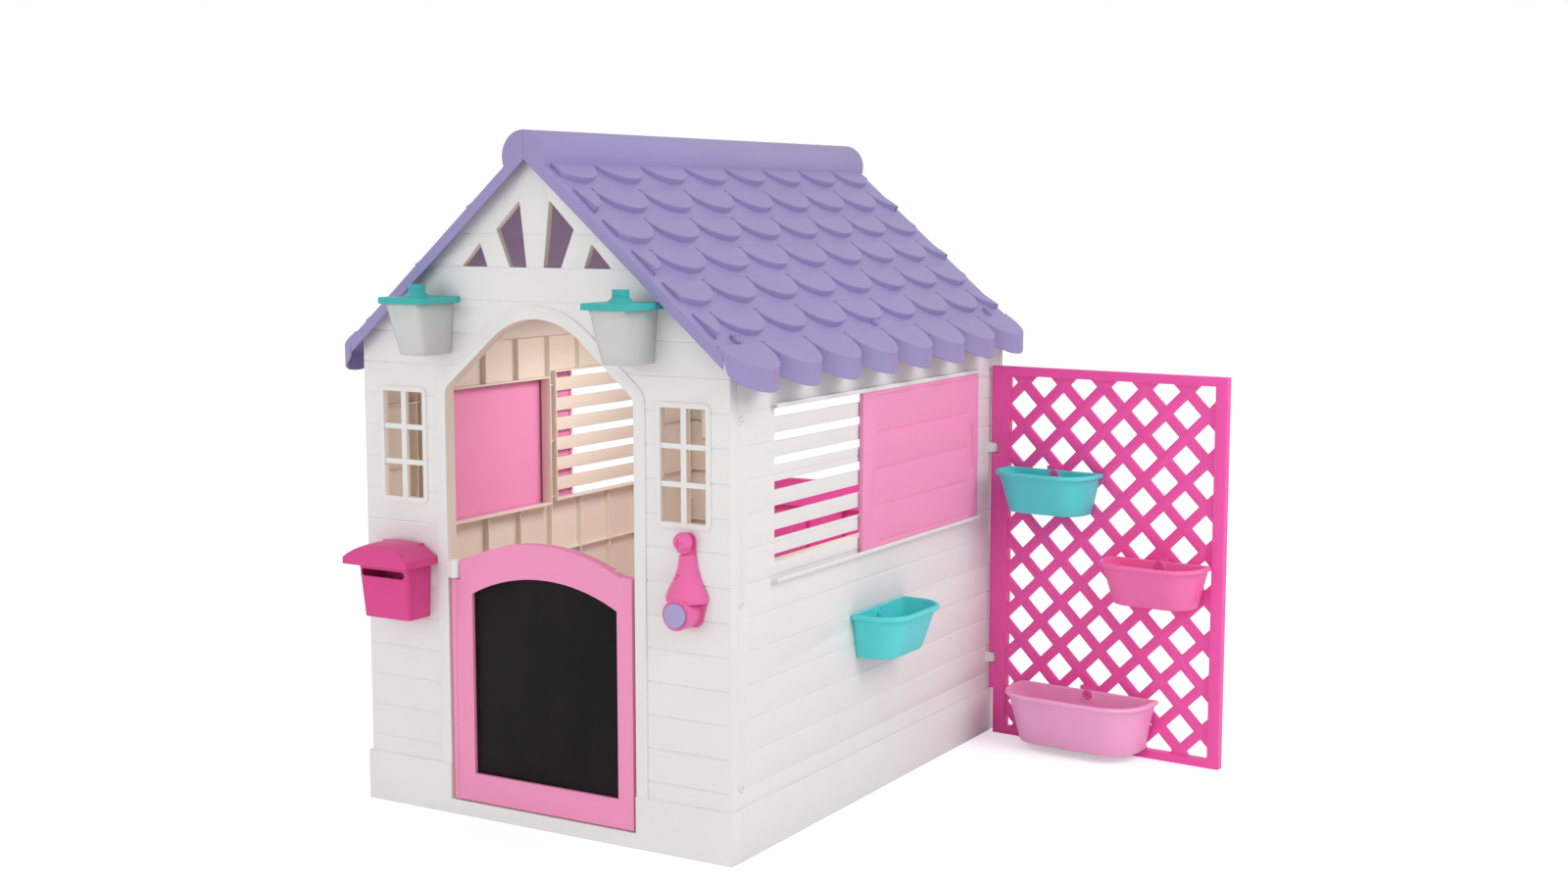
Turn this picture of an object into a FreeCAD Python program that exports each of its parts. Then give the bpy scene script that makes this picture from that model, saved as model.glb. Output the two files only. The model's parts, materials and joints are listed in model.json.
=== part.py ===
import FreeCAD, Part
import math
import os
from FreeCAD import Vector

# Plastic garden playhouse: four moulded wall panels under a two-part tiled roof, with a swinging
# half door, sliding shutters, a back gate, a pet door, and clip-on toys (lanterns, letter box,
# door bell, planters and a hinged trellis).
# Millimetres, +Z up, +X to the right of someone who faces the front, +Y from front to back.
# The origin is on the floor, under the middle of the front wall's outer face.

# ---- driving dimensions: house ----
WIDTH = 870.0            # outer face to outer face of the side walls
DEPTH = 1195.0           # outer face of the front wall to that of the back wall
EAVES_Z = 930.3          # where a roof slope's lower edge meets the outer face of a side wall
ROOF_SLOPE = 0.859       # fall over run of the roof
HALF = WIDTH / 2
APEX_Z = EAVES_Z + ROOF_SLOPE * HALF     # where the lower edges of the two roof slopes would meet
SKIN = 3.2               # moulded wall skin
PANEL = 25.0             # depth of a wall panel's edge flange
PANEL_GAP = 0.3          # joint between neighbouring panels
RIB = 2.4                # thickness of the ribs behind a wall
RIB_DEPTH = 16.0         # how far the ribs reach in from the outer face
PLINTH_Z = 102.0         # height of the thicker base band
PLINTH_OUT = 6.0         # how far it stands proud
BOARD = 64.3             # height of one siding board
FIRST_GROOVE = 135.6     # height of the lowest siding groove
GROOVE_W = 5.0
GROOVE_D = 1.7
CORNER_FLAT = 60.0       # plain margin at each end of a side wall
TRIM_OUT = 3.0           # raised surrounds of doors and windows
TRIM_W = 10.0            # their width round a window
LINING = 3.2             # thickness of the linings inside the openings

# ---- driving dimensions: openings ----
DOOR_HALF = 225.0        # half width of the front doorway
SILL_Z = 30.0            # top of the doorway's threshold
DOOR_SPRING = 860.0      # where its sloping shoulders start
DOOR_CROWN_R = 160.0     # radius of its rounded crown
DOOR_TRIM = 25.0         # width of the smooth surround
BACK_HALF = 220.0        # half width of the back doorway
BACK_TOP = 830.0
WINDOW_X = (DOOR_HALF + DOOR_TRIM + HALF) / 2 - 8.5      # centre of each small window
WINDOW_W = 100.0
WINDOW_LOW = 636.0
WINDOW_HIGH = 849.0
BAND_U = (157.0, DEPTH - 157.0)  # side window band, from the front face
LOUVRE_END = DEPTH / 2 - 12.5
OPEN_START = DEPTH / 2 + 12.5
OPEN_Z = (541.0, 828.0)
SLOT_H = 16.0
SLOT_PITCH = 46.0
SLOT_TOP = 840.0
SLOT_COUNT = 7
PET_U = DEPTH - 290.0    # centre of the pet door along the left wall
PET_W = 190.0
PET_H = 215.0
PET_SILL = 30.0

# ---- driving dimensions: roof ----
ROOF_SKIN = 2.8
ROOF_RISE = 20.0         # tile base above the slopes' lower edge, square to the slope
ROOF_OVER = 32.0         # overhang past the front and back walls
ROW_PITCH = 86.4
EAVE_ROW_LONG = 61.1     # from the line of the lowest row to the end of the field
TILES_ACROSS = 8
TILE_LIFT = 8.0          # how far a tile's tip stands up
TILE_LONG = 64.0         # from a row's line to the tips of its round tiles
RAKE_FLAT = 24.0         # plain band along the front and back edges
RIDGE_R = 50.0
RIDGE_TOP = APEX_Z + 55.0
EAVE_ROOT = HALF + 37.0  # x of the notches between the eave tiles
EAVE_TIP = HALF + 69.0   # x of their tips
EAVE_LOW = APEX_Z - ROOF_SLOPE * EAVE_ROOT - 4.5         # lower edge of the eave's drop
SEAT_GAP = 0.3           # roof on the wall tops

# ---- driving dimensions: moving pieces ----
HINGE_X = 13.0 - DOOR_HALF       # front door's pin line
HINGE_Y = 5.0
LEAF_T = 22.0
LEAF_X = (8.0 - DOOR_HALF, DOOR_HALF - 7.0)      # the doorway less a running gap
LEAF_FORWARD = 8.0       # from the pin line to the leaf's outer face
LEAF_LOW = SILL_Z + 3.0
LEAF_SHOULDER = 521.0
LEAF_CROWN = LEAF_SHOULDER + 45.0
PIN_R = 4.0
PIN_GAP = 0.1            # radial running clearance of the pins
LUG_LOW = LEAF_SHOULDER - 38.0
LUG_HIGH = LEAF_SHOULDER - 3.0
LUG_R = 13.0
FOOT_R = 10.0            # boss under each lower pin
BOARD_X = (HINGE_X + 47.0, LEAF_X[1] - 35.0)
BOARD_Z = (LEAF_LOW + 57.0, LEAF_SHOULDER - 66.0, LEAF_CROWN - 68.0)     # foot, shoulder and crown
GATE_TOP = 548.0
SHUTTER_L = 550.0
SHUTTER_Z = (OPEN_Z[0] - 26.0, OPEN_Z[1] + 20.0)
SHUTTER_T = 9.0
SHUTTER_OFF = 2.5        # gap between the wall and a shutter
SHUTTER_START = OPEN_START - 120.0       # front edge of the right shutter at rest
SHUTTER_TRAVEL = 335.0
RAIL_T = 2.5
RAIL_GAP = 0.6
TRELLIS_W = 563.0
TRELLIS_H = 854.0
TRELLIS_TURN = -4.8      # degrees, from straight out of the side wall
TRELLIS_PIN = (HALF + 15.0, DEPTH - 65.0)
LATTICE = 99.0           # diagonal pitch of the diamonds
LATTICE_HOLE = 68.0      # diagonal of one diamond

T = math.atan(ROOF_SLOPE)
COS, SIN = math.cos(T), math.sin(T)


# ---- small helpers ----
def box(x0, x1, y0, y1, z0, z1):
    """Box between two corners."""
    return Part.makeBox(x1 - x0, y1 - y0, z1 - z0, Vector(x0, y0, z0))


def rod(radius, length, start, axis):
    """Round bar from a start point along an axis."""
    return Part.makeCylinder(radius, length, Vector(*start), Vector(*axis))


def join(shapes):
    """One shape from many."""
    return shapes[0].fuse(shapes[1:]) if len(shapes) > 1 else shapes[0]


def grown(points, by):
    """Outline (u, z, corner radius) with every edge moved outwards by a distance."""
    n = len(points)
    area = sum(points[i][0] * points[(i + 1) % n][1] - points[(i + 1) % n][0] * points[i][1]
               for i in range(n))
    side = 1.0 if area > 0 else -1.0
    result = []
    for i in range(n):
        a, b, c = points[i - 1], points[i], points[(i + 1) % n]
        lines = []
        for p, q in ((a, b), (b, c)):
            du, dz = q[0] - p[0], q[1] - p[1]
            size = math.hypot(du, dz)
            nu, nz = side * dz / size, -side * du / size
            lines.append((nu, nz, nu * (p[0] + by * nu) + nz * (p[1] + by * nz)))
        (n1, m1, k1), (n2, m2, k2) = lines
        det = n1 * m2 - n2 * m1
        radius = max(b[2] + by, 0.0) if b[2] > 0 else 0.0
        result.append(((k1 * m2 - k2 * m1) / det, (n1 * k2 - n2 * k1) / det, radius))
    return result


def outline(points, place):
    """Closed wire through (u, z, corner radius) points; place maps (u, z) to a Vector."""
    n = len(points)
    corners = []
    for i in range(n):
        a, b, c = points[i - 1], points[i], points[(i + 1) % n]
        if b[2] < 0.01:
            corners.append((b[:2], b[:2], None))
            continue
        in_u, in_z = a[0] - b[0], a[1] - b[1]
        out_u, out_z = c[0] - b[0], c[1] - b[1]
        in_size, out_size = math.hypot(in_u, in_z), math.hypot(out_u, out_z)
        in_u, in_z, out_u, out_z = in_u / in_size, in_z / in_size, out_u / out_size, out_z / out_size
        half = math.acos(max(-1.0, min(1.0, in_u * out_u + in_z * out_z))) / 2
        run = b[2] / math.tan(half)
        mid_u, mid_z = in_u + out_u, in_z + out_z
        mid = math.hypot(mid_u, mid_z)
        far = b[2] / math.sin(half) - b[2]
        corners.append(((b[0] + run * in_u, b[1] + run * in_z),
                        (b[0] + run * out_u, b[1] + run * out_z),
                        (b[0] + far * mid_u / mid, b[1] + far * mid_z / mid)))
    edges = []
    for i in range(n):
        first, last, mid = corners[i]
        if mid:
            edges.append(Part.Arc(place(*first), place(*mid), place(*last)).toShape())
        following = corners[(i + 1) % n][0]
        if math.hypot(following[0] - last[0], following[1] - last[1]) > 0.001:
            edges.append(Part.LineSegment(place(*last), place(*following)).toShape())
    return Part.Wire(edges)


def slab(points, y0, y1):
    """Outline in X and Z, carried along Y."""
    wire = outline(points, lambda u, z: Vector(u, y0, z))
    return Part.Face(wire).extrude(Vector(0, y1 - y0, 0))


def plate(points, z0, z1):
    """Outline in X and Y, carried up Z."""
    wire = outline(points, lambda u, v: Vector(u, v, z0))
    return Part.Face(wire).extrude(Vector(0, 0, z1 - z0))


def along_x(points, x0, x1):
    """Outline in Y and Z, carried along X."""
    wire = outline(points, lambda y, z: Vector(x0, y, z))
    return Part.Face(wire).extrude(Vector(x1 - x0, 0, 0))


def frame(points, inner, outer, y0, y1):
    """Band between two grown copies of an outline."""
    return slab(grown(points, outer), y0, y1).cut(slab(grown(points, inner), y0 - 1, y1 + 1))


def rectangle(u0, u1, z0, z1, radius=0.0):
    return [(u0, z0, radius), (u1, z0, radius), (u1, z1, radius), (u0, z1, radius)]


def turned(shape, degrees, centre=(0, 0, 0), axis=(0, 0, 1)):
    """Copy of a shape, turned about an axis through a point."""
    copy = shape.copy()
    copy.rotate(Vector(*centre), Vector(*axis), degrees)
    return copy


def moved(shape, x=0.0, y=0.0, z=0.0):
    copy = shape.copy()
    copy.translate(Vector(x, y, z))
    return copy


def mirrored(shape):
    """Left-hand copy of a right-hand shape."""
    return shape.mirror(Vector(0, 0, 0), Vector(1, 0, 0))


def on_slope(shape):
    """From the slope's own axes (X down the slope, Z out of it) to the right-hand roof."""
    copy = turned(shape, math.degrees(T), axis=(0, 1, 0))
    copy.translate(Vector(0, 0, APEX_Z))
    return copy


def under_roof(reach):
    """Everything below both roof slopes, lowered or raised square to them."""
    top = APEX_Z + reach / COS
    edge = top - ROOF_SLOPE * 2 * WIDTH
    points = [(-2 * WIDTH, edge - 10, 0), (2 * WIDTH, edge - 10, 0), (2 * WIDTH, edge, 0),
              (0, top, 0), (-2 * WIDTH, edge, 0)]
    return slab([(u, max(z, -500 - WIDTH), r) for u, z, r in points], -DEPTH, 2 * DEPTH)


NODES = {}


# ---- walls, each modelled as a front wall and then turned into place ----
WALL_TOP_REACH = ROOF_RISE - ROOF_SKIN - SEAT_GAP
GABLE_TOP = APEX_Z + WALL_TOP_REACH / COS
GABLE = [(-HALF, 0, 0), (HALF, 0, 0), (HALF, GABLE_TOP - ROOF_SLOPE * HALF, 0),
         (0, GABLE_TOP, 0), (-HALF, GABLE_TOP - ROOF_SLOPE * HALF, 0)]
SIDE_U = (PANEL + PANEL_GAP, DEPTH - PANEL - PANEL_GAP)


def grooves(u0, u1, top):
    """V grooves between the siding boards."""
    cuts, z = [], FIRST_GROOVE
    while z < top:
        section = [(-0.5, z - GROOVE_W / 2 - 0.5, 0), (GROOVE_D, z, 0), (-0.5, z + GROOVE_W / 2 + 0.5, 0)]
        cuts.append(along_x(section, u0, u1))
        z += BOARD
    return cuts


def ribs(u0, u1, top, pitch):
    """Upright and level ribs behind a skin, as a grid."""
    count = int((u1 - u0) // pitch)
    step = (u1 - u0) / (count + 1)
    bars = [box(u0 + step * (i + 1) - RIB / 2, u0 + step * (i + 1) + RIB / 2, SKIN, RIB_DEPTH, 0, top)
            for i in range(count)]
    z = FIRST_GROOVE + BOARD / 2
    while z < top:
        bars.append(box(u0, u1, SKIN, RIB_DEPTH, z - RIB / 2, z + RIB / 2))
        z += 2 * BOARD
    return bars


def blank(points, plinth_u):
    """Skin with its edge flange, ribs and base band, before any opening."""
    us = [p[0] for p in points]
    top = max(p[1] for p in points)
    u0, u1 = min(us), max(us)
    base = box(plinth_u[0], plinth_u[1], -PLINTH_OUT, SKIN, 0, PLINTH_Z)
    base = base.cut(box(u0 + SKIN, u1 - SKIN, SKIN - PLINTH_OUT, SKIN + 1, SKIN, PLINTH_Z - SKIN))
    grid = join(ribs(u0, u1, top, 118.0)).common(slab(grown(points, -SKIN / 2), 0, PANEL))
    return join([slab(points, 0, SKIN).cut(box(u0 + SKIN, u1 - SKIN, -1, SKIN + 1, SKIN, PLINTH_Z - SKIN)),
                 base, frame(points, -SKIN, 0, 0, PANEL), grid])


def lined(wall, points, trim, depth=PANEL):
    """Cut an opening and line it, with a raised surround of a given width."""
    parts = [wall.cut(slab(points, -10, PANEL + 10)), frame(points, 0, LINING, 0, depth)]
    if trim:
        parts.append(frame(points, 0, trim, -TRIM_OUT, SKIN))
    return join(parts)


DOORWAY = [(-DOOR_HALF, SILL_Z, 0), (DOOR_HALF, SILL_Z, 0), (DOOR_HALF, DOOR_SPRING, 25.0),
           (0, DOOR_SPRING + ROOF_SLOPE * DOOR_HALF, DOOR_CROWN_R), (-DOOR_HALF, DOOR_SPRING, 25.0)]
BACKWAY = [(-BACK_HALF, SILL_Z, 0), (BACK_HALF, SILL_Z, 0), (BACK_HALF, BACK_TOP, 20.0),
           (-BACK_HALF, BACK_TOP, 20.0)]
PANE_LOW = APEX_Z - 204.0       # level foot of the panes in the gable
GABLE_PANES = [
    [(-178, PANE_LOW, 2.0), (-114, PANE_LOW, 2.0), (-132, PANE_LOW + 47, 2.0)],
    [(-92, PANE_LOW + 73, 2.0), (-61, PANE_LOW, 2.0), (-20, PANE_LOW, 2.0), (-35, PANE_LOW + 128, 2.0)]]


def small_window(centre):
    return rectangle(centre - WINDOW_W / 2, centre + WINDOW_W / 2, WINDOW_LOW, WINDOW_HIGH, 3.0)


BAR_T = 8.0
BAR_W = (12.0, 10.0)            # upright and level glazing bars


def glazing_bars(centre):
    """One upright and two level bars across a small window."""
    low, high = WINDOW_LOW - 1, WINDOW_HIGH + 1
    third = (WINDOW_HIGH - WINDOW_LOW) / 3
    bars = [box(centre - BAR_W[0] / 2, centre + BAR_W[0] / 2, 0, BAR_T, low, high)]
    for k in (1, 2):
        z = WINDOW_LOW + k * third
        bars.append(box(centre - WINDOW_W / 2 - 1, centre + WINDOW_W / 2 + 1, 0, BAR_T,
                        z - BAR_W[1] / 2, z + BAR_W[1] / 2))
    return bars


def corner_base(reach):
    """Base band wrapped round both ends of a gable wall, out to a half width."""
    return [box(-reach, -HALF, -PLINTH_OUT, PANEL, 0, PLINTH_Z),
            box(HALF, reach, -PLINTH_OUT, PANEL, 0, PLINTH_Z)]


def gable_wall(doorway, door_trim):
    """A wall that closes one end of the house."""
    reach = HALF + PLINTH_OUT
    wall = join([blank(GABLE, (-reach, reach))] + corner_base(reach))
    wall = wall.cut(grooves(-HALF - 1, HALF + 1, GABLE_TOP - 2 * BOARD))
    wall = lined(wall, doorway, door_trim)
    for side in (-1, 1):
        wall = lined(wall, small_window(side * WINDOW_X), TRIM_W, 12.0)
        wall = wall.fuse(glazing_bars(side * WINDOW_X))
    return wall


SCREW_Z = (PLINTH_Z + 38.0, 489.0, EAVES_Z - 103.3)
TAB = (PANEL + 22.0, 16.0)      # reach of a corner tab behind the side wall, and its half height
TAB_IN = SKIN + PANEL_GAP       # the tabs lie behind the side wall's skin
TAB_T = 12.0


def corner_tabs(room=0.0):
    """Tabs that reach behind the side walls and take the corner screws; room grows them all round."""
    tabs = []
    for side in (-1, 1):
        for z in SCREW_Z:
            inner = side * (HALF - TAB_IN - TAB_T)
            x = sorted((inner, side * (HALF - TAB_IN)))
            root = sorted((inner, side * (HALF - SKIN / 2)))
            low, high = z - TAB[1] - room, z + TAB[1] + room
            tabs.append(box(x[0] - room, x[1] + room, PANEL - 1, TAB[0] + room, low, high))
            tabs.append(box(root[0], root[1], SKIN / 2, PANEL, low, high))
    return tabs


front = gable_wall(DOORWAY, DOOR_TRIM)
for pane in GABLE_PANES:
    for points in (pane, [(-u, z, r) for u, z, r in reversed(pane)]):
        front = lined(front, points, 0, 14.0)
LUG_ARM = 10.0                  # half depth of the web between a lug and its jamb
lug = join([rod(LUG_R, LUG_HIGH - LUG_LOW, (HINGE_X, HINGE_Y, LUG_LOW), (0, 0, 1)),
            box(-DOOR_HALF - 1, HINGE_X, HINGE_Y - LUG_ARM, HINGE_Y + LUG_ARM, LUG_LOW, LUG_HIGH)])
lug = lug.cut(box(-DOOR_HALF - 30, -DOOR_HALF - 1, -30, -TRIM_OUT, LUG_LOW - 1, LUG_HIGH + 1))
foot = rod(FOOT_R, SILL_Z - SKIN / 2, (HINGE_X, HINGE_Y, SKIN / 2), (0, 0, 1))
front = join([front, lug, foot] + corner_tabs())

# ---- back wall, with its half gate's lugs ----
GATE_HINGE = (BACK_HALF - 13.0, HINGE_Y)     # in the back wall's own axes
GATE_LUG = (GATE_TOP - 60.0, GATE_TOP - 30.0)
back = gable_wall(BACKWAY, TRIM_W)
gate_lug = join([rod(LUG_R, GATE_LUG[1] - GATE_LUG[0], (*GATE_HINGE, GATE_LUG[0]), (0, 0, 1)),
                 box(GATE_HINGE[0], BACK_HALF + 1, HINGE_Y - LUG_ARM, HINGE_Y + LUG_ARM, *GATE_LUG)])
gate_foot = rod(FOOT_R, SILL_Z - SKIN / 2, (GATE_HINGE[0], GATE_HINGE[1], SKIN / 2), (0, 0, 1))
back = join([back, gate_lug, gate_foot] + corner_tabs())

# ---- side walls ----
SIDE_TOP = EAVES_Z + 55.0       # before the roof line is cut
TOP_RAIL = 60.0                 # box rail along the top of a side wall
PET_ARCH = PET_W / 2 - 1        # radius of the pet door's round top
PET = [(PET_U - PET_W / 2, PET_SILL, 0), (PET_U + PET_W / 2, PET_SILL, 0),
       (PET_U + PET_W / 2, PET_SILL + PET_H, PET_ARCH), (PET_U - PET_W / 2, PET_SILL + PET_H, PET_ARCH)]
SHUTTER_IN = -SHUTTER_OFF - SHUTTER_T      # outer face of a shutter, in a wall's own axes


def side_wall(with_pet_door):
    """Side wall in its own axes: u from the louvred end's gable face, outer face at zero."""
    points = rectangle(SIDE_U[0], SIDE_U[1], 0, SIDE_TOP)
    wall = blank(points, SIDE_U)
    foot = SIDE_TOP - TOP_RAIL
    rail = box(SIDE_U[0], SIDE_U[1], 0, PANEL, foot, SIDE_TOP)
    rail = rail.cut(box(SIDE_U[0] - 1, SIDE_U[1] + 1, SKIN, PANEL - SKIN, foot + SKIN, SIDE_TOP - 28))
    wall = wall.fuse(rail)
    lines = grooves(CORNER_FLAT, DEPTH - CORNER_FLAT, foot)
    tops = [SLOT_TOP - SLOT_PITCH * k for k in range(SLOT_COUNT)]
    louvre = rectangle(BAND_U[0], LOUVRE_END, tops[-1] - SLOT_H, SLOT_TOP)
    wall = wall.cut(lines + [slab(louvre, SKIN, PANEL + 1)])
    slots = [box(BAND_U[0], LOUVRE_END, -10, PANEL, top - SLOT_H, top) for top in tops]
    wall = wall.cut(slots).fuse(frame(louvre, 0, LINING, 0, PANEL))
    wall = lined(wall, rectangle(OPEN_START, BAND_U[1], OPEN_Z[0], OPEN_Z[1], 3.0), 0)
    if with_pet_door:
        turned_pet = [(DEPTH - u, z, r) for u, z, r in reversed(PET)]
        wall = lined(wall, turned_pet, TRIM_W)
    return wall


def rails():
    """Lower and upper shutter tracks, hooked over the shutter's edges, in a wall's own axes."""
    start = SHUTTER_START - SHUTTER_TRAVEL - 10.0
    end = SHUTTER_START + SHUTTER_L + 10.0
    low, high = SHUTTER_Z
    out = SHUTTER_IN - RAIL_GAP
    lower = [(0.5, low - RAIL_GAP - RAIL_T, 0), (0.5, low - RAIL_GAP, 0), (out, low - RAIL_GAP, 0),
             (out, low + 5, 0), (out - RAIL_T, low + 5, 0), (out - RAIL_T, low - RAIL_GAP - RAIL_T, 0)]
    upper = [(y, low + high - z, r) for y, z, r in reversed(lower)]
    stop = box(end - RAIL_T, end, out - 0.5, 0.5, low - RAIL_GAP - 1, low + 5)
    return [along_x(lower, start, end), along_x(upper, start, end), stop]


TRELLIS_LUG_Z = (165.0, 656.0)
TRELLIS_LUG_H = 22.0
lugs = []
for z in TRELLIS_LUG_Z:
    # in the right wall's own axes, out of the wall is negative
    out = TRELLIS_PIN[0] - HALF
    lugs.append(join([rod(8.0, TRELLIS_LUG_H, (TRELLIS_PIN[1], -out, z), (0, 0, 1)),
                      box(TRELLIS_PIN[1] - 8, TRELLIS_PIN[1] + 8, -out, 0.5, z, z + TRELLIS_LUG_H)]))


def to_right(shape):
    """From a wall's own axes to the right-hand side of the house."""
    return moved(turned(shape, 90), x=HALF)


def to_left(shape):
    return turned(to_right(shape), 180, centre=(0, DEPTH / 2, 0))


roof_line = under_roof(WALL_TOP_REACH)
right = to_right(join([side_wall(False)] + rails() + lugs)).common(roof_line)
left = to_left(join([side_wall(True)] + rails())).common(roof_line)
front = front.common(roof_line)
back = moved(turned(back, 180), y=DEPTH).common(roof_line)

# ---- roof: the right half, modelled on its own slope ----
Y0, Y1 = -ROOF_OVER, DEPTH + ROOF_OVER
TILE_W = (Y1 - Y0) / TILES_ACROSS
LIP = 4.0                       # thickness of the rake flanges
RIDGE_Z = RIDGE_TOP - RIDGE_R
FIELD_START = 38.0              # where the tiled field leaves the ridge roll


def level_s(x, reach):
    """Distance down the slope of the point above a given x, at a height off the slope."""
    return (x - reach * SIN) / COS


TIP_S = level_s(EAVE_ROOT, ROOF_RISE)           # lower end of the tiled field, down the slope
EAVE_ROW = TIP_S - EAVE_ROW_LONG                # line of the lowest row
ROWS_ABOVE = int((EAVE_ROW - RIDGE_R / 2) // ROW_PITCH)


def tile_row(start, shifted):
    """One row of round tiles, as wedges that rise from the row's line to their tips."""
    tip, out = start + TILE_LONG, ROOF_RISE + TILE_LIFT
    wedge = slab([(start, ROOF_RISE - 2, 0), (tip, ROOF_RISE - 2, 0), (tip, out, 0),
                  (start, ROOF_RISE + TILE_LIFT / 4, 0)], Y0 + RAKE_FLAT, Y1 - RAKE_FLAT)
    tongues = []
    first = Y0 - (TILE_W / 2 if shifted else 0)
    for k in range(TILES_ACROSS + (1 if shifted else 0)):
        low, high = first + k * TILE_W + 1.0, first + (k + 1) * TILE_W - 1.0
        chord = Part.LineSegment(Vector(start, high, 0), Vector(start, low, 0))
        arc = Part.Arc(Vector(start, low, 0), Vector(tip, (low + high) / 2, 0), Vector(start, high, 0))
        face = Part.Face(Part.Wire([chord.toShape(), arc.toShape()]))
        tongues.append(face.extrude(Vector(0, 0, out + 2)))
    return wedge.common(tongues)


def eave_plan(inset, inner_x):
    """Plan of the scalloped eave, as one upright prism."""
    root, tip = EAVE_ROOT - inset, EAVE_TIP - inset
    edges = [Part.LineSegment(Vector(root, Y1 - inset, 0), Vector(inner_x, Y1 - inset, 0)),
             Part.LineSegment(Vector(inner_x, Y1 - inset, 0), Vector(inner_x, Y0 + inset, 0)),
             Part.LineSegment(Vector(inner_x, Y0 + inset, 0), Vector(root, Y0 + inset, 0))]
    step = (Y1 - Y0 - 2 * inset) / TILES_ACROSS
    for k in range(TILES_ACROSS):
        y = Y0 + inset + k * step
        edges.append(Part.Arc(Vector(root, y, 0), Vector(tip, y + step / 2, 0), Vector(root, y + step, 0)))
    ordered = Part.sortEdges([edge.toShape() for edge in edges])[0]
    face = Part.Face(Part.Wire(ordered))
    face.translate(Vector(0, 0, EAVE_LOW - 1))
    return face.extrude(Vector(0, 0, 200))


def roof_half():
    """Right half: tiled field, eave drop, rake flanges and its half of the ridge roll."""
    eave_s = level_s(EAVE_TIP, 0) + 60
    field_end = TIP_S
    skin = slab([(FIELD_START, ROOF_RISE - ROOF_SKIN, 0), (field_end, ROOF_RISE - ROOF_SKIN, 0),
                 (field_end, ROOF_RISE, 0), (FIELD_START, ROOF_RISE, 0)], Y0, Y1)
    starts = [EAVE_ROW - ROW_PITCH * k for k in range(1, ROWS_ABOVE + 1)]
    rows = [tile_row(start, k % 2 == 0) for k, start in enumerate(starts)]
    rakes = [slab([(0, 0, 0), (level_s(EAVE_ROOT, 0), 0, 0), (level_s(EAVE_ROOT, ROOF_RISE), ROOF_RISE, 0),
                   (0, ROOF_RISE, 0)], y, y + LIP) for y in (Y0, Y1 - LIP)]
    field = on_slope(join([skin] + rows + rakes))
    below = on_slope(box(0, eave_s + 20, Y0 - 5, Y1 + 5, -200, ROOF_RISE + 2))
    inside = on_slope(box(0, eave_s + 20, Y0 - 5, Y1 + 5, -200, ROOF_RISE - ROOF_SKIN))
    wall_clear = HALF + 4.0
    drop = eave_plan(0, wall_clear).common(below)
    drop = drop.cut(eave_plan(LIP, wall_clear - 5).common(inside))
    drop = drop.cut(box(0, WIDTH, Y0 - 5, Y1 + 5, 0, EAVE_LOW))
    last = on_slope(slab([(EAVE_ROW, ROOF_RISE - 2, 0), (eave_s, ROOF_RISE - 2, 0),
                          (eave_s, ROOF_RISE + TILE_LIFT, 0), (EAVE_ROW, ROOF_RISE + TILE_LIFT / 4, 0)],
                         Y0 + RAKE_FLAT, Y1 - RAKE_FLAT))
    last = last.common(eave_plan(0, HALF - 55.0))
    roll = rod(RIDGE_R, Y1 - Y0, (0, Y0, RIDGE_Z), (0, 1, 0))
    hollow = rod(RIDGE_R - LIP, Y1 - Y0 - 2 * LIP, (0, Y0 + LIP, RIDGE_Z), (0, 1, 0))
    above = on_slope(box(-WIDTH, WIDTH, Y0 - 5, Y1 + 5, 0.0, 300))
    over = on_slope(box(-WIDTH, WIDTH, Y0 - 5, Y1 + 5, ROOF_RISE - ROOF_SKIN, 300))
    caps = roll.common(above).cut(box(-WIDTH, WIDTH, Y0 + LIP, Y1 - LIP, 0, 2 * APEX_Z))
    shell = roll.common(over).cut(hollow)
    seam = box(SEAT_GAP, LIP, Y0 + LIP, Y1 - LIP, GABLE_TOP + 3, RIDGE_TOP - LIP / 2)
    half = join([field, drop, last, shell, caps, seam])
    return half.cut(box(-WIDTH, SEAT_GAP / 2, Y0 - 5, Y1 + 5, 0, 2 * APEX_Z))


right_roof = roof_half()

# ---- cross-head screws ----
SCREW_HEAD_R = 9.0
SCREW_HEAD_T = 3.0
SCREW_SHANK_R = 3.0
SCREW_LENGTH = 20.0
CROSS = (11.0, 2.2, 1.6)        # length, width and depth of the cross in a head
HOLE_GAP = 0.2


def screw(length=SCREW_LENGTH, head_r=SCREW_HEAD_R):
    """Screw along +Z with its head on top, its seat at z = 0."""
    head = Part.makeCone(head_r, head_r - 2, SCREW_HEAD_T)
    body = head.fuse(rod(SCREW_SHANK_R, length, (0, 0, 0), (0, 0, -1)))
    long, wide, deep = CROSS
    for a, b in ((long, wide), (wide, long)):
        body = body.cut(box(-a / 2, a / 2, -b / 2, b / 2, SCREW_HEAD_T - deep, SCREW_HEAD_T + 1))
    return body


def screw_hole(length=SCREW_LENGTH):
    """Bore with running room for a screw's shank."""
    return rod(SCREW_SHANK_R + HOLE_GAP, length + 3.0, (0, 0, 1.5), (0, 0, -1))


def wall_screw_places(shape):
    """A +Z shape at every corner screw: two ends of each side wall, three heights."""
    placed = []
    for side in (1, -1):
        out = turned(shape, 90 * side, axis=(0, 1, 0))
        for y in (PANEL + 11.0, DEPTH - PANEL - 11.0):
            for z in SCREW_Z:
                placed.append(moved(out, side * HALF, y, z))
    return placed


ROOF_SCREW_S = (EAVE_ROW - 297.0, EAVE_ROW - 13.0, EAVE_ROW - 21.0)     # down the slope
ROOF_SCREWS = ((ROOF_SCREW_S[0], PANEL / 2), (ROOF_SCREW_S[1], 49.0), (ROOF_SCREW_S[2], DEPTH / 2),
               (ROOF_SCREW_S[1], DEPTH - 49.0), (ROOF_SCREW_S[0], DEPTH - PANEL / 2))
ROOF_SCREW_SEAT = ROOF_RISE + TILE_LIFT


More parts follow.
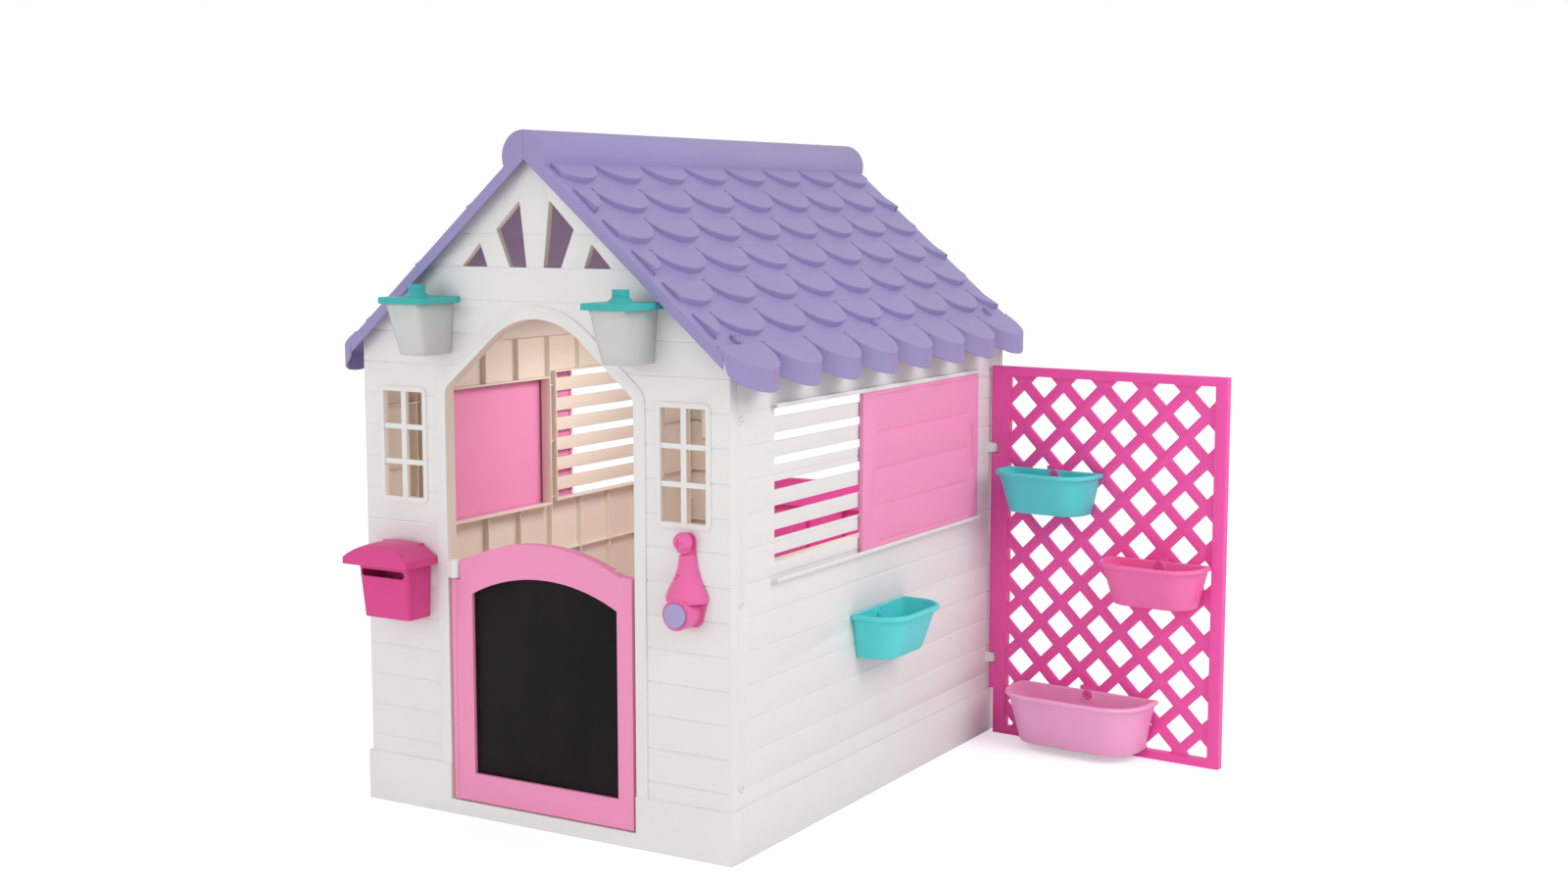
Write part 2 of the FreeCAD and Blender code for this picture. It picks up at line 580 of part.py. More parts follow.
def roof_screw_places(shape):
    return [on_slope(moved(shape, s, y, ROOF_SCREW_SEAT)) for s, y in ROOF_SCREWS]


wall_holes = wall_screw_places(screw_hole())
roof_holes = roof_screw_places(screw_hole(30.0))
roof_bosses = roof_screw_places(rod(SCREW_HEAD_R + 3, TILE_LIFT + ROOF_SKIN, (0, 0, 0), (0, 0, -1)))
right_roof = right_roof.fuse(roof_bosses).cut(roof_holes)
left_roof = mirrored(right_roof)
left_holes = [mirrored(hole) for hole in roof_holes]
all_roof_holes = roof_holes + left_holes

# ---- front door: framed leaf, chalkboard and hinge pins ----
LEAF_Y = HINGE_Y - LEAF_FORWARD
BARREL_R = 9.0
LUG_ROOM = 4.0


def arched(x0, x1, low, spring, crown, y0, y1, flat=0.0):
    """Panel with a rising arch between two level shoulders."""
    mid = (x0 + x1) / 2
    points = [Vector(x0, y0, low), Vector(x1, y0, low), Vector(x1, y0, spring)]
    edges = [Part.LineSegment(points[0], points[1]), Part.LineSegment(points[1], points[2])]
    if flat:
        edges.append(Part.LineSegment(Vector(x1, y0, spring), Vector(x1 - flat, y0, spring)))
    ends = Vector(x1 - flat, y0, spring), Vector(x0 + flat, y0, spring)
    edges.append(Part.Arc(ends[0], Vector(mid, y0, crown), ends[1]))
    if flat:
        edges.append(Part.LineSegment(Vector(x0 + flat, y0, spring), Vector(x0, y0, spring)))
    edges.append(Part.LineSegment(Vector(x0, y0, spring), Vector(x0, y0, low)))
    return Part.Face(Part.Wire([edge.toShape() for edge in edges])).extrude(Vector(0, y1 - y0, 0))


def pin_pair(x, y, spans):
    """Plain round pins on one upright line."""
    return [rod(PIN_R, high - low, (x, y, low), (0, 0, 1)) for low, high in spans]


DOOR_PINS = ((SILL_Z - 22.0, LEAF_LOW + 40.0), (LUG_LOW - 42.0, LUG_HIGH - 5.0))
leaf = arched(HINGE_X, LEAF_X[1], LEAF_LOW, LEAF_SHOULDER, LEAF_CROWN, LEAF_Y, LEAF_Y + LEAF_T, 29.0)
room = LUG_R + LUG_ROOM
leaf = leaf.cut([box(LEAF_X[0] - 20, HINGE_X + room, -60, 60, LUG_LOW - LUG_ROOM / 2, LEAF_CROWN + 5),
                 rod(BARREL_R + 1, 500, (HINGE_X, HINGE_Y, LEAF_LOW - 1), (0, 0, 1))])
barrel = rod(BARREL_R, LUG_LOW - LUG_ROOM / 2 - LEAF_LOW, (HINGE_X, HINGE_Y, LEAF_LOW), (0, 0, 1))
web = box(HINGE_X, HINGE_X + 20, LEAF_Y + 3, HINGE_Y + BARREL_R - 1, LEAF_LOW, LUG_LOW - LUG_ROOM / 2)
board_low, board_spring, board_crown = BOARD_Z
opening = arched(BOARD_X[0], BOARD_X[1], board_low, board_spring, board_crown, -60, 60)
REBATE = 6.0                    # how far the chalkboard reaches behind the frame
BOARD_T = 3.0
BOARD_GAP = 0.2                 # round the chalkboard in its rebate
BOARD_Y = LEAF_Y + 8.0          # front of the rebate
HOLLOW_Y = LEAF_Y + 4.0         # the frame's outer skin ends here
GRIP = (108.0, 176.0)           # finger pull behind the top rail, along the rail


def board_panel(shrink):
    """The chalkboard's rebate, or the chalkboard with a gap all round."""
    out = REBATE - shrink
    return arched(BOARD_X[0] - out, BOARD_X[1] + out, board_low - out, board_spring + out,
                  board_crown + out, BOARD_Y + shrink, BOARD_Y + BOARD_T + 2 * BOARD_GAP - shrink)


back_hollow = [box(HINGE_X + 24, BOARD_X[0] - 10, HOLLOW_Y, 60, LEAF_LOW + 4, LUG_LOW - 12),
               box(BOARD_X[1] + 10, LEAF_X[1] - 4, HOLLOW_Y, 60, LEAF_LOW + 4, LUG_LOW),
               box(BOARD_X[0], BOARD_X[1], HOLLOW_Y, 60, LEAF_LOW + 4, board_low - 10)]
grip = box(GRIP[0], GRIP[1], LEAF_Y + LEAF_T - 12, 60, LEAF_SHOULDER - 12, LEAF_SHOULDER + 9)
leaf = join([leaf, barrel, web]).cut([opening, board_panel(0), grip] + back_hollow)
leaf = leaf.cut([rod(PIN_R + PIN_GAP, high - low + 2, (HINGE_X, HINGE_Y, low - 1), (0, 0, 1))
                 for low, high in DOOR_PINS])
chalkboard = board_panel(BOARD_GAP)
pin_holes = [rod(PIN_R + PIN_GAP, high - low, (HINGE_X, HINGE_Y, low), (0, 0, 1)) for low, high in DOOR_PINS]
front = front.cut(pin_holes)

# ---- back gate, in the back wall's own axes, then turned ----
GATE_PINS = ((SILL_Z - 22.0, LEAF_LOW + 40.0), (GATE_TOP - 100.0, GATE_TOP - 35.0))
GATE_NOTCH = GATE_LUG[0] - LUG_ROOM / 2         # the leaf is cut away above this beside its lug
GATE_RIB_X = [-BACK_HALF + 100.0 * k for k in (1, 2, 3)]
gx = GATE_HINGE[0]
gate = box(-BACK_HALF + 4, gx, LEAF_Y, LEAF_Y + LEAF_T, LEAF_LOW, GATE_TOP)
gate = gate.cut([box(gx - room, BACK_HALF, -60, 60, GATE_NOTCH, GATE_TOP + 5),
                 rod(BARREL_R + 1, GATE_TOP, (gx, HINGE_Y, LEAF_LOW - 1), (0, 0, 1)),
                 box(-BACK_HALF + 8, gx - 24, HOLLOW_Y, 60, LEAF_LOW + 4, GATE_NOTCH - 4)])
gate_ribs = [box(x - RIB / 2, x + RIB / 2, HOLLOW_Y - 1, LEAF_Y + LEAF_T - 2, LEAF_LOW + 2, GATE_NOTCH - 2)
             for x in GATE_RIB_X]
gate = join([gate, rod(BARREL_R, GATE_NOTCH - LEAF_LOW, (gx, HINGE_Y, LEAF_LOW), (0, 0, 1)),
             box(gx - 25, gx, LEAF_Y + 3, HINGE_Y + BARREL_R - 1, LEAF_LOW, GATE_NOTCH)] + gate_ribs)
gate = gate.cut([rod(PIN_R + PIN_GAP, high - low + 2, (gx, HINGE_Y, low - 1), (0, 0, 1))
                 for low, high in GATE_PINS])


def to_back(shape):
    return moved(turned(shape, 180), y=DEPTH)


gate_holes = [rod(PIN_R + PIN_GAP, high - low, (gx, HINGE_Y, low), (0, 0, 1)) for low, high in GATE_PINS]
back = back.cut([to_back(hole) for hole in gate_holes])

# ---- shutters ----
SHUTTER_BOARDS = 4
SHUTTER_EDGE = 15.0             # plain edge above and below the stepped boards


def shutter():
    """Shutter in a wall's own axes: stepped boards, a hollow back and a grip groove."""
    low, high = SHUTTER_Z
    u0, u1 = SHUTTER_START, SHUTTER_START + SHUTTER_L
    panel = box(u0, u1, SHUTTER_IN, -SHUTTER_OFF, low, high)
    step = (high - low - 2 * SHUTTER_EDGE) / SHUTTER_BOARDS
    lines = []
    for k in range(SHUTTER_BOARDS + 1):
        z = low + SHUTTER_EDGE + step * k
        lines.append(box(u0 + 60, u1 - 60, SHUTTER_IN - 1, SHUTTER_IN + 1.5, z - 1.5, z + 1.5))
    middle = (low + high) / 2
    lines.append(box(u1 - 42, u1 - 28, SHUTTER_IN - 1, SHUTTER_IN + 3.5, middle - 48, middle + 49))
    hollow = box(u0 + 8, u1 - 8, SHUTTER_IN + 4.5, 1, low + 8, high - 8)
    return panel.cut(lines + [hollow])


# ---- trellis: panel in its own axes (X along it, Y behind it), turned about its pins ----
STILES = (37.0, 26.0)           # left and right
RAILS = (18.0, 20.0)            # bottom and top
STILE_T = 20.0
GRID_T = 9.0
TRELLIS_BARREL = 10.0


def diamond(u, z):
    half = LATTICE_HOLE / 2
    return [(u - half, z, 1.5), (u, z - half, 1.5), (u + half, z, 1.5), (u, z + half, 1.5)]


def trellis_panel():
    """Framed lattice with square holes set on their corners."""
    panel = box(0, TRELLIS_W, -STILE_T / 2, STILE_T / 2, 0, TRELLIS_H)
    u0, u1, z0, z1 = STILES[0], TRELLIS_W - STILES[1], RAILS[0], TRELLIS_H - RAILS[1]
    window = box(u0, u1, -STILE_T, STILE_T, z0, z1)
    panel = panel.cut(window)
    holes = []
    for first_u, first_z in ((73.0, 769.0), (23.5, 818.5)):
        for i in range(7):
            for j in range(10):
                u, z = first_u + LATTICE * i, first_z - LATTICE * j
                if u - LATTICE_HOLE / 2 < u1 - 6 and z + LATTICE_HOLE / 2 > z0 + 6:
                    holes.append(slab(diamond(u, z), -STILE_T, STILE_T))
    grid = box(u0 - 1, u1 + 1, -GRID_T / 2, GRID_T / 2, z0 - 1, z1 + 1)
    edge = frame(rectangle(u0, u1, z0, z1), 0, 1.5, -GRID_T / 2, GRID_T / 2)
    grid = grid.cut(holes).fuse(edge)
    barrel_line = rod(TRELLIS_BARREL, TRELLIS_H, (0, 0, 0), (0, 0, 1))
    panel = join([panel, grid, barrel_line])
    notches = []
    for z in TRELLIS_LUG_Z:
        notches.append(box(-20, 12, -20, 20, z - 1.5, z + TRELLIS_LUG_H + 1.5))
    notches.append(box(-20, PLINTH_OUT, -20, 20, -1, PLINTH_Z + 3))
    return panel.cut(notches)


def to_trellis(shape):
    """From the trellis's own axes to its place at the right-hand wall."""
    copy = turned(shape, TRELLIS_TURN)
    copy.translate(Vector(TRELLIS_PIN[0], TRELLIS_PIN[1], 0))
    return copy


TRELLIS_PIN_R = 3.0
TRELLIS_PINS = [(z - 18.0, z + TRELLIS_LUG_H + 18.0) for z in TRELLIS_LUG_Z]
trellis_pins = [rod(TRELLIS_PIN_R, high - low, (TRELLIS_PIN[0], TRELLIS_PIN[1], low), (0, 0, 1))
                for low, high in TRELLIS_PINS]
trellis_bores = [rod(TRELLIS_PIN_R + PIN_GAP, high - low + 1, (*TRELLIS_PIN, low - 0.5), (0, 0, 1))
                 for low, high in TRELLIS_PINS]
right = right.cut(trellis_bores)


# ---- planters: flat-backed troughs that hang on a knobbed screw ----
POT_WALL = 3.0
CLIP_GAP = 0.3                  # between a hung toy and the face behind it


def pot_plan(width, depth, grow=0.0):
    """Flat back on y = 0, with large round corners in front (towards -Y)."""
    corner = min(depth, width / 2) * 0.62
    return [(-width / 2 - grow, 0, 0), (width / 2 + grow, 0, 0),
            (width / 2 + grow, -depth - grow, corner + grow),
            (-width / 2 - grow, -depth - grow, corner + grow)]


def loft(lower, z0, upper, z1):
    """Solid between two level outlines."""
    wires = [outline(points, lambda u, v, z=z: Vector(u, v, z)) for points, z in ((lower, z0), (upper, z1))]
    return Part.makeLoft(wires, True, True)


def pot(width, depth, foot_width, foot_depth, height, knob_z):
    """Tapered trough with a rolled rim and a screw lug on its back wall; rim at z = height."""
    outer = loft(pot_plan(foot_width, foot_depth), 0, pot_plan(width, depth), height)
    inner = loft(pot_plan(foot_width - 2 * POT_WALL, foot_depth - 2 * POT_WALL), POT_WALL,
                 pot_plan(width - 2 * POT_WALL, depth - 2 * POT_WALL), height + 1)
    inner.translate(Vector(0, -POT_WALL, 0))
    rim = plate(pot_plan(width, depth, 6.0), height - 10, height)
    mouth = pot_plan(width - 2 * POT_WALL, depth - 2 * POT_WALL)
    rim = rim.cut(plate([(u, v - POT_WALL, r) for u, v, r in mouth], height - 20, height + 5))
    lug_top = knob_z + 12
    lug_plate = slab([(-18, height - 30, 0), (18, height - 30, 0), (18, lug_top, 12.0), (-18, lug_top, 12.0)],
                     -POT_WALL, 0)
    body = join([outer.cut(inner), rim, lug_plate])
    return body.cut(rod(SCREW_SHANK_R + HOLE_GAP, 20, (0, -15, knob_z), (0, 1, 0)))


KNOB_R = 12.0


def knob(z, length):
    """Round cross-head knob on a screw that runs to +Y; its seat is at y = -POT_WALL."""
    body = screw(length, KNOB_R)
    body = turned(body, 90, axis=(1, 0, 0))
    return moved(body, y=-POT_WALL - 0.2, z=z)


SMALL_POT = dict(width=228.0, depth=105.0, foot_width=185.0, foot_depth=75.0, height=94.0)
TROUGH = dict(width=330.0, depth=135.0, foot_width=285.0, foot_depth=105.0, height=116.0)
WALL_POT_AT = (DEPTH / 2 - 19.5, 298.0)         # along the right wall, and height of its foot
KNOB_Z = 84.0
wall_pot = to_right(moved(pot(knob_z=KNOB_Z, **SMALL_POT), x=WALL_POT_AT[0], y=-CLIP_GAP, z=WALL_POT_AT[1]))
wall_pot_knob = to_right(moved(knob(KNOB_Z, 10.0), x=WALL_POT_AT[0], y=-CLIP_GAP, z=WALL_POT_AT[1]))
POT_HOLE = rod(SCREW_SHANK_R + HOLE_GAP, 40, (0, -20, 0), (0, 1, 0))
pot_seat = rod(KNOB_R + 0.5, 1.6, (0, -1.0, 0), (0, 1, 0))
wall_pot_cuts = [to_right(moved(cut, x=WALL_POT_AT[0], z=WALL_POT_AT[1] + KNOB_Z))
                 for cut in (POT_HOLE, pot_seat)]

TRELLIS_POTS = (("trellis_pot_upper", SMALL_POT, 158.0, 533.0),
                ("trellis_pot_middle", SMALL_POT, 418.0, 352.0),
                ("trellis_trough", TROUGH, 250.0, 18.0))
trellis = trellis_panel()
trellis_knobs = []
for name, sizes, u, z in TRELLIS_POTS:
    lug_z = KNOB_Z if sizes is SMALL_POT else sizes["height"] - 10.0
    place = dict(x=u, y=-STILE_T / 2 - CLIP_GAP, z=z)
    NODES[name] = to_trellis(moved(pot(knob_z=lug_z, **sizes), **place))
    trellis_knobs.append(to_trellis(moved(knob(lug_z, 16.0), **place)))
    pad = box(u - 20, u + 20, -STILE_T / 2, GRID_T / 2, z + lug_z - 18, z + lug_z + 18)
    trellis = trellis.fuse(pad).cut(moved(POT_HOLE, x=u, z=z + lug_z))
trellis = to_trellis(trellis).cut(trellis_bores)

# ---- lanterns: tapered cups under a brimmed cap, against the front wall ----
LANTERN_X = DOOR_HALF + 15.0
CUP = dict(top=(82.0, 112.0), foot=(63.0, 83.0), low=929.0, high=1029.5)
CUP_WALL = 2.5
BRIM = (112.0, 122.0, 1030.0, 1042.0)
FINIAL_TOP = 1066.0
FINIAL_R = 16.0


def cup_plan(width, depth, grow=0.0, radius=12.0):
    return [(-width / 2 - grow, 0, 0), (width / 2 + grow, 0, 0),
            (width / 2 + grow, -depth - grow, radius), (-width / 2 - grow, -depth - grow, radius)]


def lantern():
    """Cup, cap and screw of one lantern, on the wall at x = 0."""
    foot, top, w = CUP["foot"], CUP["top"], CUP_WALL
    cup = loft(cup_plan(*foot), CUP["low"], cup_plan(*top), CUP["high"])
    inside = loft(cup_plan(foot[0] - 2 * w, foot[1] - 2 * w), CUP["low"] + w,
                  cup_plan(top[0] - 2 * w, top[1] - 2 * w), CUP["high"] + 1)
    cup = cup.cut(moved(inside, y=-w))
    width, depth, low, high = BRIM
    cap = plate(cup_plan(width, depth, radius=20.0), low, high)
    cap = cap.cut(plate([(u, v - w, r) for u, v, r in cup_plan(width - 2 * w, depth - 2 * w, radius=18.0)],
                        low - 1, high - 4))
    cap = join([cap, Part.makeCone(28.0, FINIAL_R, 10.0, Vector(0, -depth / 2, high - 0.5)),
                rod(FINIAL_R, FINIAL_TOP - high, (0, -depth / 2, high), (0, 0, 1)),
                box(-30, 30, -w, 0, low - 22, low + 1)])
    hole = rod(SCREW_SHANK_R + HOLE_GAP, 40, (0, -20, low - 11), (0, 1, 0))
    peg = moved(turned(screw(14.0, 6.0), 90, axis=(1, 0, 0)), y=-2 * w - 0.4, z=low - 11)
    cup = cup.cut([box(-30.2, 30.2, -w - 0.2, 1, low - 22.2, low + 1), hole])
    return cup, cap.cut(hole), peg, hole


cup, cap, peg, lantern_hole = [moved(part, y=-CLIP_GAP) for part in lantern()]


def both(part):
    """A lantern piece at the left and at the right of the doorway."""
    return [moved(part, x=-LANTERN_X), moved(part, x=LANTERN_X)]


front = front.cut(both(lantern_hole))

# ---- letter box: tapered body and a domed lid on a rear pin ----
MAIL_X = -WINDOW_X - 2.0
MAIL_W = (130.0, 120.0)         # at the top and at the foot
MAIL_D = (72.0, 62.0)
MAIL_Z = (398.0, 505.0)
MAIL_WALL = 3.0
LID_W, LID_D = 165.0, 95.0
LID_Z = (MAIL_Z[1] + 2.0, MAIL_Z[1] + 14.0, MAIL_Z[1] + 46.0)    # lower edge, spring and crown of the dome
LID_PIN = (-10.0, MAIL_Z[1] + 36.5)              # y and z
LID_PIN_R = 2.5
EAR_X = 45.0                    # the ears that hold the lid's pin
KNUCKLE_R = 5.5
SLOT_HALF = 55.0


def letter_box():
    """Body and lid of the letter box, on the wall at x = 0."""
    w = MAIL_WALL
    low, high = MAIL_Z
    body = loft(cup_plan(MAIL_W[1], MAIL_D[1]), low, cup_plan(MAIL_W[0], MAIL_D[0]), high)
    inside = loft(cup_plan(MAIL_W[1] - 2 * w, MAIL_D[1] - 2 * w), low + w,
                  cup_plan(MAIL_W[0] - 2 * w, MAIL_D[0] - 2 * w), high + 1)
    body = body.cut(moved(inside, y=-w))
    slot = slab(rectangle(-SLOT_HALF, SLOT_HALF, high - 23, high - 8, 7.0), -MAIL_D[0] - 10, -MAIL_D[0] + 12)
    back_plate = box(-EAR_X - 3, EAR_X + 3, -w, 0, high - 1, LID_PIN[1] - 3)
    ear_out, ear_top = LID_PIN[0] - 5, LID_PIN[1] + 5
    ear = [(0, high, 0), (ear_out, high, 0), (ear_out, ear_top, 4.0), (0, ear_top, 4.0)]
    ears = [along_x(ear, x - 2.5, x + 2.5) for x in (-EAR_X, EAR_X)]
    body = join([body, back_plate] + ears).cut(slot)
    lower, spring, crown = LID_Z
    lid = arched(-LID_W / 2, LID_W / 2, lower, spring, crown, -LID_D, -1.0)
    hollow = arched(-LID_W / 2 + w, LID_W / 2 - w, lower - 5, spring, crown - w, -LID_D + w, -1.0 - w)
    pin_bore = rod(LID_PIN_R + PIN_GAP, 200, (-100, LID_PIN[0], LID_PIN[1]), (1, 0, 0))
    knuckles = []
    for x in (-EAR_X + 5, EAR_X - 19):
        knuckles.append(rod(KNUCKLE_R, 14, (x, LID_PIN[0], LID_PIN[1]), (1, 0, 0)))
        knuckles.append(box(x, x + 14, LID_PIN[0] - KNUCKLE_R, LID_PIN[0], LID_PIN[1], LID_PIN[1] + 7))
    rear_gap = box(-EAR_X - 7, EAR_X + 7, LID_PIN[0] + 1.5, 5, lower - 5, crown + 5)
    outside = arched(-LID_W / 2, LID_W / 2, lower, spring, crown, -LID_D, -1.0)
    lid = lid.cut([hollow, rear_gap]).fuse(knuckles).common(outside)
    ear_room = [box(x - 3.2, x + 3.2, LID_PIN[0] - 6.5, 5, lower - 5, crown + 5) for x in (-EAR_X, EAR_X)]
    lid = lid.cut([pin_bore] + ear_room)
    pin = rod(LID_PIN_R, 2 * EAR_X + 5, (-EAR_X - 2.5, LID_PIN[0], LID_PIN[1]), (1, 0, 0))
    holes, screws = [], []
    for x in (-35.0, 35.0):
        holes.append(rod(SCREW_SHANK_R + HOLE_GAP, 40, (x, -20, high - 35), (0, 1, 0)))
        screws.append(moved(turned(screw(14.0, 6.0), 90, axis=(1, 0, 0)), x=x, y=-w - 0.2, z=high - 35))
    return body.cut([pin_bore] + holes), lid, pin, screws, holes


mail_body, mail_lid, mail_pin, mail_screws, mail_holes = letter_box()
front = front.cut([moved(hole, x=MAIL_X) for hole in mail_holes])


def at_mail(part):
    return moved(part, x=MAIL_X, y=-CLIP_GAP)


# ---- door bell: half-round bell over a round push-button housing ----
BELL_X = WINDOW_X + 11.0
BELL_PROFILE = ((0, 492), (42.5, 492), (44, 500), (40, 512), (30, 530), (21, 555), (18, 578), (9, 586),
                (8, 592), (0, 592))         # radius and height
BELL_DEPTH = 40.0
KNOB_CENTRE = 605.0
KNOB_BALL = 18.0
HOUSING_R = 29.0
HOUSING_Z = 472.0
HOUSING_D = 46.0
BUTTON_R = 22.5
BUTTON_GAP = 0.4
BUTTON_TRAVEL = 4.0
BELL_WALL = 2.5
SOUND_AT = (-12.0, 542.0)       # the small sound holes in the bell
SPEAKER_Z = 528.0


def turned_half(profile, shrink=0.0):
    """Half-round solid about the bell's upright axis, in front of the wall."""
    points = [Vector(max(r - shrink, 0.0), 0, z) for r, z in profile]
    wire = Part.makePolygon(points + [points[0]])
    solid = Part.Face(wire).revolve(Vector(0, 0, 0), Vector(0, 0, 1), 360)
    return solid.common(box(-80, 80, -80, -BELL_WALL, 400, 700))


def bell():
    """Pieces of the bell, on the wall at x = 0."""
    w = BELL_WALL
    outer = turned_half(BELL_PROFILE)
    inner = turned_half([(r, z + (w if z < 500 else -w)) for r, z in BELL_PROFILE], w)
    inner = inner.common(box(-80, 80, -80, -w + 1, 400, 580))
    housing = rod(HOUSING_R, HOUSING_D - w, (0, -w, HOUSING_Z), (0, -1, 0))
    stem = join([Part.makeSphere(KNOB_BALL, Vector(0, -KNOB_BALL - w, KNOB_CENTRE)),
                 box(-9, 9, -26, -w, 585, 600)])
    cross = [box(-a, a, -60, 3 - 2 * KNOB_BALL - w, KNOB_CENTRE - b, KNOB_CENTRE + b)
             for a, b in ((12, 1.4), (1.4, 12))]
    sound = [rod(1.5, 30, (SOUND_AT[0] + dx, -20, SOUND_AT[1] + dz), (0, -1, 0))
             for dx, dz in ((0, 6), (5, 0), (-5, 0), (0, -6), (0, 0))]
    cavity = rod(HOUSING_R - w, HOUSING_D - 2 * w + 1, (0, -w + 1, HOUSING_Z), (0, -1, 0))
    mouth = rod(BUTTON_R + BUTTON_GAP, 40, (0, -HOUSING_D + 10, HOUSING_Z), (0, -1, 0))
    inner = inner.cut(rod(HOUSING_R, 60, (0, 0, HOUSING_Z), (0, -1, 0)))
    shell = join([outer, housing, stem]).cut([inner, cavity, mouth] + cross + sound)
    button = join([rod(BUTTON_R, 12, (0, -HOUSING_D + 6, HOUSING_Z), (0, -1, 0)),
                   rod(BUTTON_R + 2.0, 2.0, (0, -HOUSING_D + 8, HOUSING_Z), (0, -1, 0)),
                   rod(4.0, 12, (0, -HOUSING_D + 18, HOUSING_Z), (0, -1, 0))])
    right_side = [(28, 443, 20.0), (42, 495, 6.0), (18, 560, 10.0), (16, 620, 14.0)]
    left_side = [(-u, z, r) for u, z, r in reversed(right_side)]
    plate_back = slab(right_side + left_side, -w + 0.2, 0)
    board = join([rod(23.0, 1.6, (0, -6.0, HOUSING_Z), (0, -1, 0)),
                  box(-3.2, 3.2, -23.7, -7.0, HOUSING_Z - 3.2, HOUSING_Z + 3.2),
                  box(-4, 4, -6.0, -w, HOUSING_Z - 18, HOUSING_Z - 12)])
    speaker = join([rod(14.0, 5, (0, -9, SPEAKER_Z), (0, -1, 0)),
                    rod(8.0, 7, (0, -w, SPEAKER_Z), (0, -1, 0))])
    cells = [rod(5.7, 5.2, (x, -7.9, HOUSING_Z - 10), (0, -1, 0)) for x in (-13.0, 13.0)]
    return shell, button, plate_back, board, speaker, cells


bell_shell, bell_button, bell_back, bell_board, bell_speaker, bell_cells = bell()


def at_bell(part):
    return moved(part, x=BELL_X, y=-CLIP_GAP)


# ---- pet door flap, in the house's own axes on the left wall ----
FLAP_GAP = 7.0
FLAP_T = 5.0
FLAP_PIN_Z = PET_SILL + PET_H - 26.0
FLAP_PIN_R = 2.5
FLAP_SLEEVE_R = 6.0
FLAP_SPAN = PET_W - 66.0        # length of the flap's straight top edge
flap_x = -HALF + PANEL / 2


def pet_bar(radius, length):
    """Round bar on the flap's pin line, centred on the pet door."""
    return rod(radius, length, (flap_x, PET_U - length / 2, FLAP_PIN_Z), (0, 1, 0))


flap = along_x(grown(PET, -FLAP_GAP), flap_x - FLAP_T / 2, flap_x + FLAP_T / 2)
flap = flap.cut(box(flap_x - 30, flap_x + 30, 0, DEPTH, FLAP_PIN_Z + 7, PET_SILL + 2 * PET_H))
flap = flap.fuse(pet_bar(FLAP_SLEEVE_R, FLAP_SPAN - 14)).cut(pet_bar(FLAP_PIN_R + PIN_GAP, 300))
flap_pin = pet_bar(FLAP_PIN_R, FLAP_SPAN + 16)
left = left.cut(pet_bar(FLAP_PIN_R + PIN_GAP, FLAP_SPAN + 18))

# ---- nodes ----
NODES["front_wall"] = front.cut(wall_holes + all_roof_holes)
NODES["back_wall"] = back.cut(wall_holes + all_roof_holes)
tab_slots = corner_tabs(PANEL_GAP)
tab_slots += [turned(slot, 180, centre=(0, DEPTH / 2, 0)) for slot in tab_slots]
NODES["left_wall"] = left.cut(tab_slots).cut(wall_holes + all_roof_holes)
NODES["right_wall"] = right.cut(tab_slots).cut(wall_holes + all_roof_holes + wall_pot_cuts)
NODES["right_roof"] = right_roof
NODES["left_roof"] = left_roof
NODES["wall_screws"] = Part.makeCompound(wall_screw_places(screw()))
roof_screws = roof_screw_places(screw(29.0))
NODES["roof_screws"] = Part.makeCompound(roof_screws + [mirrored(s) for s in roof_screws])
NODES["front_door"] = leaf
NODES["chalkboard"] = chalkboard
NODES["front_door_pins"] = Part.makeCompound(pin_pair(HINGE_X, HINGE_Y, DOOR_PINS))
NODES["back_gate"] = to_back(gate)
NODES["back_gate_pins"] = Part.makeCompound([to_back(pin) for pin in pin_pair(gx, HINGE_Y, GATE_PINS)])
NODES["right_shutter"] = to_right(shutter())
NODES["left_shutter"] = to_left(shutter())
NODES["trellis_panel"] = trellis
NODES["trellis_pins"] = Part.makeCompound(trellis_pins)
NODES["trellis_knobs"] = Part.makeCompound(trellis_knobs)
NODES["wall_pot"] = wall_pot
NODES["wall_pot_knob"] = wall_pot_knob
NODES["lantern_cups"] = Part.makeCompound(both(cup))
NODES["lantern_caps"] = Part.makeCompound(both(cap))
NODES["lantern_screws"] = Part.makeCompound(both(peg))
NODES["letter_box"] = at_mail(mail_body)
NODES["letter_box_lid"] = at_mail(mail_lid)
NODES["letter_box_pin"] = at_mail(mail_pin)
NODES["letter_box_screws"] = Part.makeCompound([at_mail(s) for s in mail_screws])
NODES["bell_shell"] = at_bell(bell_shell)
NODES["bell_button"] = at_bell(bell_button)
NODES["bell_back"] = at_bell(bell_back)
NODES["bell_circuit_board"] = at_bell(bell_board)
NODES["bell_speaker"] = at_bell(bell_speaker)
NODES["bell_batteries"] = Part.makeCompound([at_bell(cell) for cell in bell_cells])
NODES["pet_flap"] = flap
NODES["pet_flap_pin"] = flap_pin

os.makedirs("parts", exist_ok=True)
for name, shape in NODES.items():
    shape.exportStep("parts/" + name + ".step")
    bound = shape.BoundBox
    size = [round(v, 1) for v in (bound.XLength, bound.YLength, bound.ZLength)]
    print(name, "solids", len(shape.Solids), "valid", shape.isValid(), "size", size)
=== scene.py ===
import json
import math

import bmesh
import bpy
import numpy as np
from mathutils import Matrix, Vector

